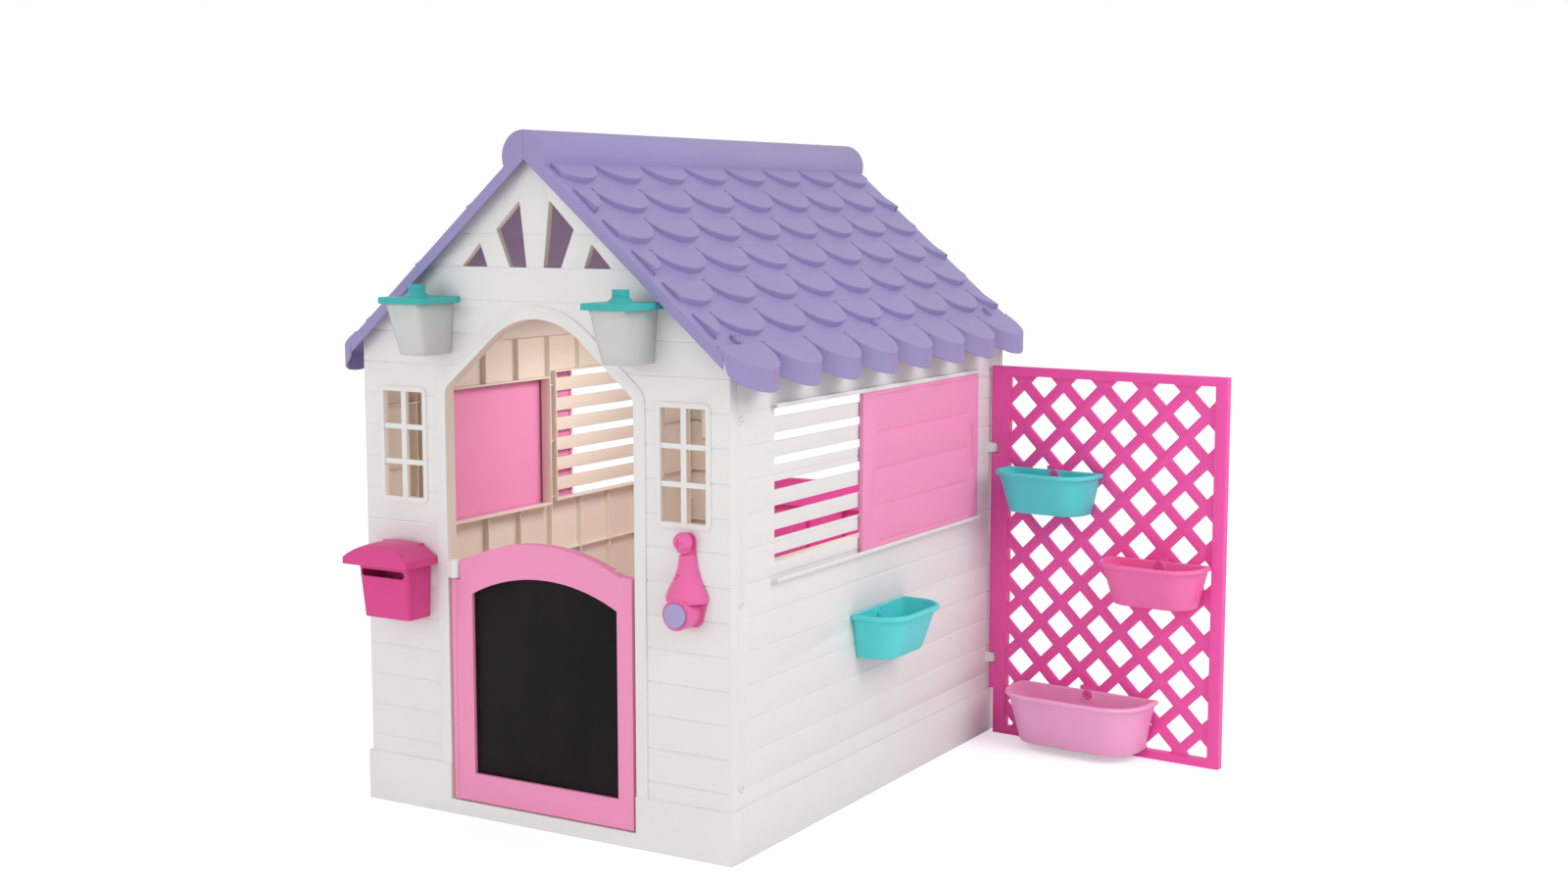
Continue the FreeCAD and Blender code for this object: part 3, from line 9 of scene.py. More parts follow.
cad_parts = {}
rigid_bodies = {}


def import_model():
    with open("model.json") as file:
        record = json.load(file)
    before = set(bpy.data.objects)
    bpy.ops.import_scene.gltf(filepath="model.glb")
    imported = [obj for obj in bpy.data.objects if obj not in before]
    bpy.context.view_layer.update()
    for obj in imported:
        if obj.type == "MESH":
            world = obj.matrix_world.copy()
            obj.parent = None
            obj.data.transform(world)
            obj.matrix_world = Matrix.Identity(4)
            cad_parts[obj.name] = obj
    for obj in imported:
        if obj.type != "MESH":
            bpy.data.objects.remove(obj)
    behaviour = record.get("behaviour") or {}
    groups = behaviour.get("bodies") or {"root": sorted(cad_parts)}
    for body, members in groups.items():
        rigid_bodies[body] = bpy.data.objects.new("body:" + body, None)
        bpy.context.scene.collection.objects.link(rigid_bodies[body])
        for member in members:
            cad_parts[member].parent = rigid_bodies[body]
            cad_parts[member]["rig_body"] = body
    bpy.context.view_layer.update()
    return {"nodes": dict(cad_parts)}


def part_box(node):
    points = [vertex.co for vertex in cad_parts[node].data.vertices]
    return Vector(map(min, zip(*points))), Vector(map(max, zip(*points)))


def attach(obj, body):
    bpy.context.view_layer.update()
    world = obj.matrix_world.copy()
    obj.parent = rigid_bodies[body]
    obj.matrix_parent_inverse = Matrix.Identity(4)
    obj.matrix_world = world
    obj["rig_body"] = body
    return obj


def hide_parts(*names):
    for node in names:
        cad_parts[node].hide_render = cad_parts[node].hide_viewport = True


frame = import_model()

# ---- the view ----
# A visitor's eye level, off the front right corner, so that the gable front and the long
# right-hand side both show. The lens looks slightly down and has no shift.
EYE = Vector((2.3319, -3.0472, 1.2190))
HEADING, TILT = math.radians(30.346), math.radians(-6.744)
FOCAL_LENGTH, SENSOR_WIDTH, FAR_CLIP = 45.88, 36.0, 60.0
gaze = Vector((-math.sin(HEADING) * math.cos(TILT), math.cos(HEADING) * math.cos(TILT), math.sin(TILT)))
lens = bpy.data.cameras.new("visitor_view")
lens.lens, lens.sensor_width, lens.clip_end = FOCAL_LENGTH, SENSOR_WIDTH, FAR_CLIP
visitor = bpy.data.objects.new("visitor_view", lens)
visitor.rotation_euler = gaze.to_track_quat("-Z", "Y").to_euler()
visitor.location = EYE
bpy.context.scene.collection.objects.link(visitor)
bpy.context.scene.camera = visitor
bpy.context.scene.view_settings.view_transform = "Standard"

# ---- the studio floor and light ----
# A pale seamless floor, white to the eye, that keeps the soft shadow of the house, under an even
# white sky with one large soft lamp off to the right and a weaker one low at the front left. A
# small lamp under the ridge lights the cabin.
SKY, FLOOR_GLOW, FLOOR_REACH = 0.72, 0.42, 14.0
FLOOR_TONE = (0.86, 0.86, 0.865, 1.0)


def white_world(strength):
    """Even sky; eyes and reflections see plain white."""
    world = bpy.data.worlds.new("studio_sky")
    world.use_nodes = True
    tree = world.node_tree
    tree.nodes.clear()
    out = tree.nodes.new("ShaderNodeOutputWorld")
    lit, seen = tree.nodes.new("ShaderNodeBackground"), tree.nodes.new("ShaderNodeBackground")
    lit.inputs["Color"].default_value = (1.0, 1.0, 1.0, 1.0)
    lit.inputs["Strength"].default_value = strength
    seen.inputs["Strength"].default_value = 1.0
    seen.inputs["Color"].default_value = (1.0, 1.0, 1.0, 1.0)
    path, mix = tree.nodes.new("ShaderNodeLightPath"), tree.nodes.new("ShaderNodeMixShader")
    tree.links.new(path.outputs["Is Camera Ray"], mix.inputs["Fac"])
    tree.links.new(lit.outputs[0], mix.inputs[1])
    tree.links.new(seen.outputs[0], mix.inputs[2])
    tree.links.new(mix.outputs[0], out.inputs["Surface"])
    bpy.context.scene.world = world


def soft_lamp(name, place, aim, size, power):
    """Square area lamp that faces a point."""
    lamp = bpy.data.lights.new(name, "AREA")
    lamp.size, lamp.energy = size, power
    holder = bpy.data.objects.new(name, lamp)
    holder.location = place
    holder.visible_camera = holder.visible_glossy = False
    holder.rotation_euler = (Vector(aim) - Vector(place)).to_track_quat("-Z", "Y").to_euler()
    bpy.context.scene.collection.objects.link(holder)


def seamless_floor(reach):
    """Flat square floor; a diffuse surface that the eye sees lifted towards white."""
    mesh = bpy.data.meshes.new("studio_floor")
    mesh.from_pydata([(-reach, -reach, 0), (reach, -reach, 0), (reach, reach, 0), (-reach, reach, 0)],
                     [], [(0, 1, 2, 3)])
    floor = bpy.data.objects.new("studio_floor", mesh)
    bpy.context.scene.collection.objects.link(floor)
    surface = bpy.data.materials.new("studio_floor")
    surface.use_nodes = True
    tree = surface.node_tree
    tree.nodes.clear()
    out = tree.nodes.new("ShaderNodeOutputMaterial")
    matte, glow = tree.nodes.new("ShaderNodeBsdfDiffuse"), tree.nodes.new("ShaderNodeEmission")
    matte.inputs["Color"].default_value = FLOOR_TONE
    glow.inputs["Color"].default_value = (1.0, 1.0, 1.0, 1.0)
    glow.inputs["Strength"].default_value = FLOOR_GLOW
    path, add = tree.nodes.new("ShaderNodeLightPath"), tree.nodes.new("ShaderNodeAddShader")
    mix = tree.nodes.new("ShaderNodeMixShader")
    tree.links.new(matte.outputs[0], add.inputs[0])
    tree.links.new(glow.outputs[0], add.inputs[1])
    tree.links.new(path.outputs["Is Camera Ray"], mix.inputs["Fac"])
    tree.links.new(matte.outputs[0], mix.inputs[1])
    tree.links.new(add.outputs[0], mix.inputs[2])
    tree.links.new(mix.outputs[0], out.inputs["Surface"])
    mesh.materials.append(surface)
    return floor


white_world(SKY)
soft_lamp("key_right", (3.8, 0.2, 3.0), (0.2, 0.5, 0.6), 2.4, 66.0)
soft_lamp("fill_left", (-1.2, -4.2, 1.2), (0.0, 0.2, 0.8), 2.6, 51.0)
soft_lamp("room_light", (0.0, 0.60, 0.99), (0.0, 0.60, 0.0), 0.35, 4.2)
seamless_floor(FLOOR_REACH)

# ---- moulded white walls ----
# Four injection-moulded polyethylene panels with siding boards outside and a grid of ribs inside,
# held at the corners by cross-head screws. The plastic is satin and faintly mottled. Within the box
# that the walls' outer skins bound, its colour turns warm cream. This is painted light: it stands for the
# warm tint that light passing through the plastic gives the shaded inner faces.
WALL_WHITE = (0.79, 0.78, 0.768)
# Warm cream of the inner faces: painted light, the tint of light through the plastic, not the plastic's
# own colour.
PAINTED_WARM_LIGHT_INSIDE = (0.83, 0.735, 0.61)
INSIDE_HALF_X, INSIDE_Y = 0.4330, (0.0018, 1.1932)
SINK_SCALE, WAVE_SCALE, BLOTCH_SCALE, GRAIN_SCALE = 7.0, 9.0, 55.0, 1500.0
WAVE_STRENGTH, GRAIN_STRENGTH = 0.28, 0.16
MERGE_GAP, FLAT_ANGLE, FINE_EDGE = 2e-5, math.radians(0.6), 0.0006


def moulded_plastic(name, colour, rough=0.42, mottle=0.03, inside=None, translucency=0.0):
    """Satin moulded plastic. Colour is the base colour times one plus or minus a small slow noise;
    roughness is a base value plus a mid-scale noise; the bump adds a fine even grain to slow waves."""
    plastic = bpy.data.materials.new(name)
    plastic.use_nodes = True
    tree = plastic.node_tree
    link = tree.links.new
    shader = tree.nodes["Principled BSDF"]
    shader.inputs["Specular IOR Level"].default_value = 0.38
    shader.inputs["Subsurface Weight"].default_value = translucency
    shader.inputs["Subsurface Radius"].default_value = (0.012, 0.009, 0.007)
    place = tree.nodes.new("ShaderNodeTexCoord")

    def noise(scale, detail):
        cloud = tree.nodes.new("ShaderNodeTexNoise")
        cloud.inputs["Scale"].default_value = scale
        cloud.inputs["Detail"].default_value = detail
        link(place.outputs["Object"], cloud.inputs["Vector"])
        return cloud.outputs["Fac"]

    def between(value, low, high):
        span = tree.nodes.new("ShaderNodeMapRange")
        span.inputs["To Min"].default_value = low
        span.inputs["To Max"].default_value = high
        link(value, span.inputs["Value"])
        return span.outputs["Result"]

    slow = between(noise(SINK_SCALE, 3.0), 1.0 - mottle, 1.0 + mottle)
    tint = tree.nodes.new("ShaderNodeMix")
    tint.data_type, tint.blend_type = "RGBA", "MULTIPLY"
    tint.inputs["Factor"].default_value = 1.0
    tint.inputs[6].default_value = (*colour, 1.0)
    grey = tree.nodes.new("ShaderNodeCombineColor")
    for channel in range(3):
        link(slow, grey.inputs[channel])
    link(grey.outputs[0], tint.inputs[7])
    result = tint.outputs[2]
    # Inside the walls' box the colour is swapped for the inside tone: painted warm light, not the
    # plastic's own colour.
    if inside:
        result = inside_painted_warm_light(tree, place, tint, inside)
    link(result, shader.inputs["Base Color"])
    link(between(noise(BLOTCH_SCALE, 4.0), rough - 0.06, rough + 0.08), shader.inputs["Roughness"])
    grained = tree.nodes.new("ShaderNodeBump")
    grained.inputs["Strength"].default_value = GRAIN_STRENGTH
    grained.inputs["Distance"].default_value = 0.0004
    link(noise(GRAIN_SCALE, 2.0), grained.inputs["Height"])
    waves = tree.nodes.new("ShaderNodeBump")
    waves.inputs["Strength"].default_value = WAVE_STRENGTH
    waves.inputs["Distance"].default_value = 0.002
    link(noise(WAVE_SCALE, 2.0), waves.inputs["Height"])
    link(grained.outputs["Normal"], waves.inputs["Normal"])
    link(waves.outputs["Normal"], shader.inputs["Normal"])
    return plastic


def inside_painted_warm_light(tree, place, tint, inside):
    """Base colour that turns to the inside tone within the box that the walls' outer skins bound. The
    inside tone is painted light: the warm tint of light through the plastic on the shaded inner faces.
    """
    link = tree.links.new
    axes = tree.nodes.new("ShaderNodeSeparateXYZ")
    link(place.outputs["Object"], axes.inputs[0])

    def step(value, edge, above):
        gate = tree.nodes.new("ShaderNodeMath")
        gate.operation = "GREATER_THAN" if above else "LESS_THAN"
        gate.inputs[1].default_value = edge
        link(value, gate.inputs[0])
        return gate.outputs[0]

    width = tree.nodes.new("ShaderNodeMath")
    width.operation = "ABSOLUTE"
    link(axes.outputs["X"], width.inputs[0])
    painted_light_mask = step(width.outputs[0], INSIDE_HALF_X, False)
    for edge, above in ((INSIDE_Y[0], True), (INSIDE_Y[1], False)):
        both = tree.nodes.new("ShaderNodeMath")
        both.operation = "MULTIPLY"
        link(painted_light_mask, both.inputs[0])
        link(step(axes.outputs["Y"], edge, above), both.inputs[1])
        painted_light_mask = both.outputs[0]
    turn = tree.nodes.new("ShaderNodeMix")
    turn.data_type = "RGBA"
    link(painted_light_mask, turn.inputs["Factor"])
    link(tint.outputs[2], turn.inputs[6])
    turn.inputs[7].default_value = (*inside, 1.0)
    return turn.outputs[2]


def softened(node, width, segments=2, angle=28.0):
    """Copy of a CAD node, merged and flattened where faces all but agree, whose sharp edges are
    rounded by a small width, as a mould leaves them."""
    source = frame["nodes"][node]
    mesh = source.data.copy()
    mesh.name = node + "_soft"
    mesh.materials.clear()
    shape = bmesh.new()
    shape.from_mesh(mesh)
    bmesh.ops.remove_doubles(shape, verts=shape.verts, dist=MERGE_GAP)
    bmesh.ops.dissolve_limit(shape, angle_limit=FLAT_ANGLE, verts=shape.verts, edges=shape.edges)
    shape.to_mesh(mesh)
    shape.free()
    piece = bpy.data.objects.new(node + "_soft", mesh)
    bpy.context.scene.collection.objects.link(piece)
    mesh.polygons.foreach_set("use_smooth", np.ones(len(mesh.polygons), bool))
    rounding = piece.modifiers.new("rounded_edges", "BEVEL")
    rounding.width, rounding.segments = width, segments
    rounding.limit_method, rounding.angle_limit = "ANGLE", math.radians(angle)
    rounding.harden_normals = True
    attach(piece, source["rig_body"])
    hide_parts(node)
    return piece


def dressed(piece, finish):
    """Give a piece its one material, appended to its mesh's materials."""
    piece.data.materials.append(finish)


# The walls' inner faces get the painted warm light tone as their colour.
wall_white = moulded_plastic("wall_white", WALL_WHITE, inside=PAINTED_WARM_LIGHT_INSIDE)
for name in ("front_wall", "back_wall", "left_wall", "right_wall"):
    dressed(softened(name, FINE_EDGE), wall_white)

# ---- corner and roof screws ----
# Cross-head moulded screws: white ones pin each side wall to the tabs of the gable walls, lavender
# ones hold the roof down through sunk bosses.
roof_lavender = moulded_plastic("roof_lavender", (0.318, 0.272, 0.515), rough=0.40, mottle=0.05)
for name, finish, slot in (("wall_screws", wall_white, "white_plastic"),
                           ("roof_screws", roof_lavender, "lavender_plastic")):
    dressed(softened(name, FINE_EDGE), finish)

# ---- tiled roof halves ----
# Two mirror-image mouldings of lavender polyethylene with rows of round raised tiles, a scalloped
# eave and half of the ridge roll each. The field comes from the frame; every tile is laid on it.
APEX_Z, ROOF_SLOPE, ROOF_RISE = 1.304, 0.859, 0.020
EAVE_LINE, ROW_PITCH, ROWS_ABOVE, TILES_ACROSS, RAKE_FLAT = 0.544, 0.0864, 6, 8, 0.022
FIELD_TILE = dict(long=0.066, lift=(0.0035, 0.0145), drop=None)
EAVE_TILE = dict(long=0.0835, lift=(0.0035, 0.0185), drop=0.040)
LIP_R, EAVE_WALL, FIELD_CUT, WALL_FACE = 0.0032, 0.004, 0.4385, 0.4365
TILE_GAP, FLARE, SINK, EAVE_FADE = 0.0012, 0.0016, 0.002, 0.012
CHAMFER, UNBOUND = 0.0012, -9.0
pitch_angle = math.atan(ROOF_SLOPE)


def tile(start, low_y, high_y, long, lift, drop, limits):
    """Closed mesh of one round tile. Its outline is a half ellipse below the row's line; its top rises
    evenly down the slope, its lip is a quarter round, and its wall drops to the field or, at the eave,
    straight down by a set height with an inner wall behind it."""
    theta = np.linspace(0.0, math.pi, 33)
    half = (high_y - low_y - TILE_GAP) / 2
    middle = (low_y + high_y) / 2
    across, down = -np.cos(theta), np.sin(theta)
    normal = np.stack([half * down, long * across], 1)
    normal /= np.linalg.norm(normal, axis=1)[:, None]
    outline = np.stack([start + long * down, middle + half * across], 1)

    def height(s):
        return lift[0] + (lift[1] - lift[0]) * (s - start) / long

    def row(points, above):
        return np.column_stack([points, np.full(len(theta), ROOF_RISE) + above])

    line = np.stack([np.full(len(theta), start), outline[:, 1]], 1)
    rows = [row(line, -SINK), row(line, lift[0])]
    shoulder = np.maximum(outline - normal * LIP_R, (start, UNBOUND))
    for share in (0.45, 0.9):
        between = line + (shoulder - line) * share
        rows.append(row(between, height(between[:, 0])))
    for turn in np.linspace(0.0, math.pi / 2, 5):
        ring = np.maximum(shoulder + normal * LIP_R * math.sin(turn), (start, UNBOUND))
        rows.append(row(ring, height(ring[:, 0]) - LIP_R * (1 - math.cos(turn))))
    if drop is None:
        foot = np.maximum(outline + normal * FLARE, (start, UNBOUND))
        foot[:, 1] = np.clip(foot[:, 1], low_y, high_y)
        rows.append(row(foot, -SINK))
    grid = np.array(rows)
    grid[:, :, 1] = np.clip(grid[:, :, 1], *limits)
    s, y, h = grid[..., 0], grid[..., 1], grid[..., 2]
    place = np.stack([s * math.cos(pitch_angle) + h * math.sin(pitch_angle), y,
                      APEX_Z - s * math.sin(pitch_angle) + h * math.cos(pitch_angle)], 2)
    if drop is not None:
        edge = place[-1]
        fall = drop * np.clip((edge[:, 0] - WALL_FACE) / EAVE_FADE, 0.12, 1.0)
        inward = np.column_stack([-normal[:, 0], -normal[:, 1], np.zeros(len(theta))]) * EAVE_WALL
        foot = edge - np.column_stack([np.zeros((len(theta), 2)), fall])
        outer, chamfer = foot + (0, 0, CHAMFER), foot + inward * 0.3
        inner_low, inner_high = foot + inward, edge + inward - (0, 0, EAVE_WALL)
        place = np.concatenate([place, [outer, chamfer, inner_low, inner_high]])
    count, columns = place.shape[:2]
    index = np.arange(count * columns).reshape(count, columns)
    after = np.roll(index, -1, axis=0)
    quads = np.stack([index[:, :-1], after[:, :-1], after[:, 1:], index[:, 1:]], 2).reshape(-1, 4)
    return place.reshape(-1, 3), quads, (index[:, 0], index[::-1, -1])


def tile_field(name, side):
    """Every tile of one roof half in one mesh; alternate rows are shifted by half a tile."""
    low_y, high_y = (bound[1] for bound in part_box(name))
    step = (high_y - low_y) / TILES_ACROSS
    points, faces, total = [], [], 0
    for level in range(ROWS_ABOVE + 1):
        shifted = level % 2 == 1
        kind = FIELD_TILE if level else EAVE_TILE
        limits = (low_y + RAKE_FLAT, high_y - RAKE_FLAT) if level else (low_y, high_y)
        for k in range(TILES_ACROSS + shifted):
            first = low_y + (k - shifted / 2) * step
            start = EAVE_LINE - ROW_PITCH * level
            place, quads, ends = tile(start, first, first + step, limits=limits, **kind)
            points.append(place * (side, 1, 1))
            faces += (quads + total).tolist() + [(end + total).tolist() for end in ends]
            total += len(place)
    mesh = bpy.data.meshes.new(name + "_tiles")
    mesh.from_pydata(np.concatenate(points).tolist(), [], faces)
    shape = bmesh.new()
    shape.from_mesh(mesh)
    bmesh.ops.remove_doubles(shape, verts=shape.verts, dist=MERGE_GAP / 2)
    bmesh.ops.recalc_face_normals(shape, faces=shape.faces)
    shape.to_mesh(mesh)
    shape.free()
    mesh.polygons.foreach_set("use_smooth", np.ones(len(mesh.polygons), bool))
    mesh.set_sharp_from_angle(angle=math.radians(38))
    tiles = bpy.data.objects.new(name + "_tiles", mesh)
    bpy.context.scene.collection.objects.link(tiles)
    return tiles


def without_eave(piece, side):
    """Cut the field off above its eave, which the eave tiles stand for, and close the cut."""
    shape = bmesh.new()
    shape.from_mesh(piece.data)
    everything = shape.verts[:] + shape.edges[:] + shape.faces[:]
    cut = bmesh.ops.bisect_plane(shape, geom=everything, plane_co=(side * FIELD_CUT, 0, 0),
                                 plane_no=(side, 0, 0), clear_outer=True)
    edges = [item for item in cut["geom_cut"] if isinstance(item, bmesh.types.BMEdge)]
    bmesh.ops.holes_fill(shape, edges=edges)
    shape.to_mesh(piece.data)
    shape.free()


for name, side in (("right_roof", 1), ("left_roof", -1)):
    field = softened(name, 0.0016, angle=22.0)
    without_eave(field, side)
    tiles = tile_field(name, side)
    for piece in (field, tiles):
        dressed(piece, roof_lavender)
    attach(tiles, frame["nodes"][name]["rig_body"])

# ---- half door, chalkboard and their pins ----
# A light pink framed leaf with an arched top rail; a matt black board sits in its rebate and shows
# a faint haze of wiped chalk. White pins carry it.
door_pink = moulded_plastic("door_pink", (0.86, 0.30, 0.50), rough=0.38)
dressed(softened("front_door", 0.003, segments=3), door_pink)


def board_black():
    """Matt black whose colour is two dark greys mixed by a stretched cloud, as wiped chalk leaves
    them; roughness rises with the same cloud."""
    slate = bpy.data.materials.new("board_black")
    slate.use_nodes = True
    tree = slate.node_tree
    link = tree.links.new
    shader = tree.nodes["Principled BSDF"]
    place, turn = tree.nodes.new("ShaderNodeTexCoord"), tree.nodes.new("ShaderNodeMapping")
    turn.inputs["Scale"].default_value = (1.0, 1.0, 0.35)
    cloud, ramp = tree.nodes.new("ShaderNodeTexNoise"), tree.nodes.new("ShaderNodeValToRGB")
    cloud.inputs["Scale"].default_value, cloud.inputs["Detail"].default_value = 14.0, 5.0
    link(place.outputs["Object"], turn.inputs["Vector"])
    link(turn.outputs["Vector"], cloud.inputs["Vector"])
    link(cloud.outputs["Fac"], ramp.inputs["Fac"])
    ramp.color_ramp.elements[0].position, ramp.color_ramp.elements[1].position = 0.35, 0.75
    ramp.color_ramp.elements[0].color = (0.0034, 0.0030, 0.0034, 1.0)
    ramp.color_ramp.elements[1].color = (0.0085, 0.0068, 0.0082, 1.0)
    link(ramp.outputs["Color"], shader.inputs["Base Color"])
    rough = tree.nodes.new("ShaderNodeMapRange")
    rough.inputs["To Min"].default_value, rough.inputs["To Max"].default_value = 0.38, 0.52
    link(cloud.outputs["Fac"], rough.inputs["Value"])
    link(rough.outputs["Result"], shader.inputs["Roughness"])
    shader.inputs["Specular IOR Level"].default_value = 0.2
    bump, fine = tree.nodes.new("ShaderNodeBump"), tree.nodes.new("ShaderNodeTexNoise")
    fine.inputs["Scale"].default_value = 900.0
    bump.inputs["Strength"].default_value, bump.inputs["Distance"].default_value = 0.25, 0.0003
    link(place.outputs["Object"], fine.inputs["Vector"])
    link(fine.outputs["Fac"], bump.inputs["Height"])
    link(bump.outputs["Normal"], shader.inputs["Normal"])
    return slate


dressed(softened("chalkboard", FINE_EDGE), board_black())
hinge_white = moulded_plastic("hinge_white", (0.78, 0.77, 0.75), rough=0.35)
for name in ("front_door_pins", "back_gate_pins", "pet_flap_pin"):
    dressed(softened(name, FINE_EDGE), hinge_white)

# ---- back gate ----
# The back doorway's plain half gate, moulded in the deep pink of the trellis. It swings outwards on
# two of the white pins above.
deep_pink = moulded_plastic("deep_pink", (0.90, 0.10, 0.42), rough=0.40)
dressed(softened("back_gate", 0.0025, segments=3), deep_pink)

# ---- sliding shutters ----
# Hollow-backed light pink panels with stepped board lines and a grip. Each runs in tracks on its
# side wall and covers one half of the window band.
PANEL_EDGE = 0.0012
shutter_pink = moulded_plastic("shutter_pink", (0.875, 0.315, 0.535), rough=0.40, translucency=0.15)
for name in ("right_shutter", "left_shutter"):
    dressed(softened(name, PANEL_EDGE), shutter_pink)

# ---- pet door flap ----
# A round-topped flap of the shutters' pink, low in the left wall. It hangs on a pin across its top
# and swings both ways.
dressed(softened("pet_flap", PANEL_EDGE), shutter_pink)

# ---- trellis and its pins ----
# Deep pink lattice of square holes on their corners, framed by a wide stile at its hinges. Two
# pins in lugs on the right wall carry it.
dressed(softened("trellis_panel", 0.0016), deep_pink)
dressed(softened("trellis_pins", FINE_EDGE), deep_pink)

# ---- planters ----
# Flat-backed tapered troughs with a rolled rim and a screw lug, blow-moulded in teal and pinks.
# Widths and depths are at the mouth and the foot; the rim stands out all round but at the back.
POT_WALL, RIM_OUT, RIM_DROP, CORNER_SHARE = 0.003, 0.006, 0.010, 0.62
LUG_RADIUS, LUG_ROOT, LUG_ROUND = 0.0175, 0.03, 0.0008
SMALL_POT = dict(mouth=(0.228, 0.105), foot=(0.185, 0.075), height=0.094, lug_top=0.096)
TROUGH = dict(mouth=(0.330, 0.135), foot=(0.285, 0.105), height=0.116, lug_top=0.118)


def planter_ring(width, depth, grow, back, z):
    """Level loop: straight back edge, then two quarter-round corners joined by a straight front. The
    corner radius is a set share of the lesser of the depth and half the width. grow moves the sides
    and the front outwards; back is the y of the back edge."""
    corner = min(depth, width / 2) * CORNER_SHARE + grow
    half, front = width / 2 + grow, -depth - grow
    angle = np.linspace(0.0, math.pi / 2, 15)
    right = np.stack([half - corner + corner * np.cos(angle), front + corner - corner * np.sin(angle)], 1)
    left = right[::-1] * (-1, 1)
    across = np.linspace(half - corner, corner - half, 10)[1:-1]
    along = np.linspace(-half, half, 14)[1:-1]
    side = np.linspace(back, front + corner, 6)[:-1]
    loop = np.concatenate([
        np.stack([np.full(5, half), side], 1), right, np.stack([across, np.full(8, front)], 1), left,
        np.stack([np.full(5, -half), side[::-1]], 1), np.stack([along, np.full(12, back)], 1)])
    return np.column_stack([loop, np.full(len(loop), z)])


def looped_solid(name, rings):
    """Closed surface through a stack of loops with equal point counts: a quad joins each pair of
    neighbours to the pair above, and the first and last loops are capped."""
    rings = np.asarray(rings, dtype=np.float32)
    stack, count = rings.shape[:2]
    here = np.arange(count)
    following = (here + 1) % count
    quads = [np.stack([k * count + here, (k + 1) * count + here, (k + 1) * count + following,
                       k * count + following], 1) for k in range(stack - 1)]
    faces = np.concatenate(quads).tolist()
    faces.append(list(range(count)))
    faces.append(list(range((stack - 1) * count, stack * count))[::-1])
    mesh = bpy.data.meshes.new(name)
    mesh.from_pydata(rings.reshape(-1, 3).tolist(), [], faces)
    shape = bmesh.new()
    shape.from_mesh(mesh)
    bmesh.ops.recalc_face_normals(shape, faces=shape.faces)
    shape.to_mesh(mesh)
    shape.free()
    mesh.polygons.foreach_set("use_smooth", np.ones(len(mesh.polygons), bool))
    piece = bpy.data.objects.new(name, mesh)
    bpy.context.scene.collection.objects.link(piece)
    return piece


def placed(piece, turn, shift):
    """Carry a piece's mesh to its place: a turn about +Z and then a shift. Its object stays at the
    origin."""
    piece.data.transform(Matrix.Translation(shift) @ Matrix.Rotation(turn, 4, "Z"))
    return piece


def planter(name, mouth, foot, height, lug_top):
    """Rings of the planter: the plan is the foot plus the share of the way to the mouth, rolls out and
    over at the rim, and comes down inside one wall thickness away."""

    def at(share, grow, back, z):
        width = foot[0] + (mouth[0] - foot[0]) * share
        depth = foot[1] + (mouth[1] - foot[1]) * share
        return planter_ring(width, depth, grow, back, z)

    neck = height - RIM_DROP
    outside = [(0.0, -0.006, 0.0, 0.0), (0.0, -0.0018, 0.0, 0.0008), (0.02, 0.0, 0.0, 0.004),
               (0.5, 0.0, 0.0, height / 2), (neck / height, 0.0, 0.0, neck - 0.002),
               (neck / height, 0.0012, 0.0, neck)]
    rim = [(1.0, RIM_OUT - 0.002, 0.0, neck), (1.0, RIM_OUT, 0.0, neck + 0.002),
           (1.0, RIM_OUT, 0.0, height - 0.0035), (1.0, RIM_OUT - 0.001, 0.0, height - 0.001),
           (1.0, RIM_OUT - 0.0035, 0.0, height), (1.0, -0.001, -0.0015, height),
           (1.0, -POT_WALL + 0.0003, -POT_WALL, height - 0.001)]
    inside = [(1.0, -POT_WALL, -POT_WALL, height - 0.004), (0.5, -POT_WALL, -POT_WALL, height / 2),
              (0.05, -POT_WALL, -POT_WALL, 0.007),
              (0.0, -POT_WALL - 0.002, -POT_WALL - 0.002, POT_WALL + 0.001),
              (0.0, -0.010, -0.010, POT_WALL)]
    return looped_solid(name, [at(*step) for step in outside + rim + inside])


def screw_lug(name, low, top, front):
    """Small plate that rises behind the rim for the screw. Its outline is a half circle on two
    straight sides, and its faces are a little smaller than its middle."""
    angle = np.linspace(0.0, math.pi, 17)
    heart = top - LUG_RADIUS
    arch = np.stack([LUG_RADIUS * np.cos(angle), np.zeros(17), heart + LUG_RADIUS * np.sin(angle)], 1)
    outline = np.concatenate([[[LUG_RADIUS, 0, low]], arch, [[-LUG_RADIUS, 0, low]]])
    middle = np.array([0.0, 0.0, (low + top) / 2])
    rings = []
    for share, y in ((0.94, 0.0), (1.0, -LUG_ROUND), (1.0, front + LUG_ROUND), (0.94, front)):
        rings.append((outline - middle) * (share, 1, share) + middle + (0.0, y, 0.0))
    return looped_solid(name, rings)


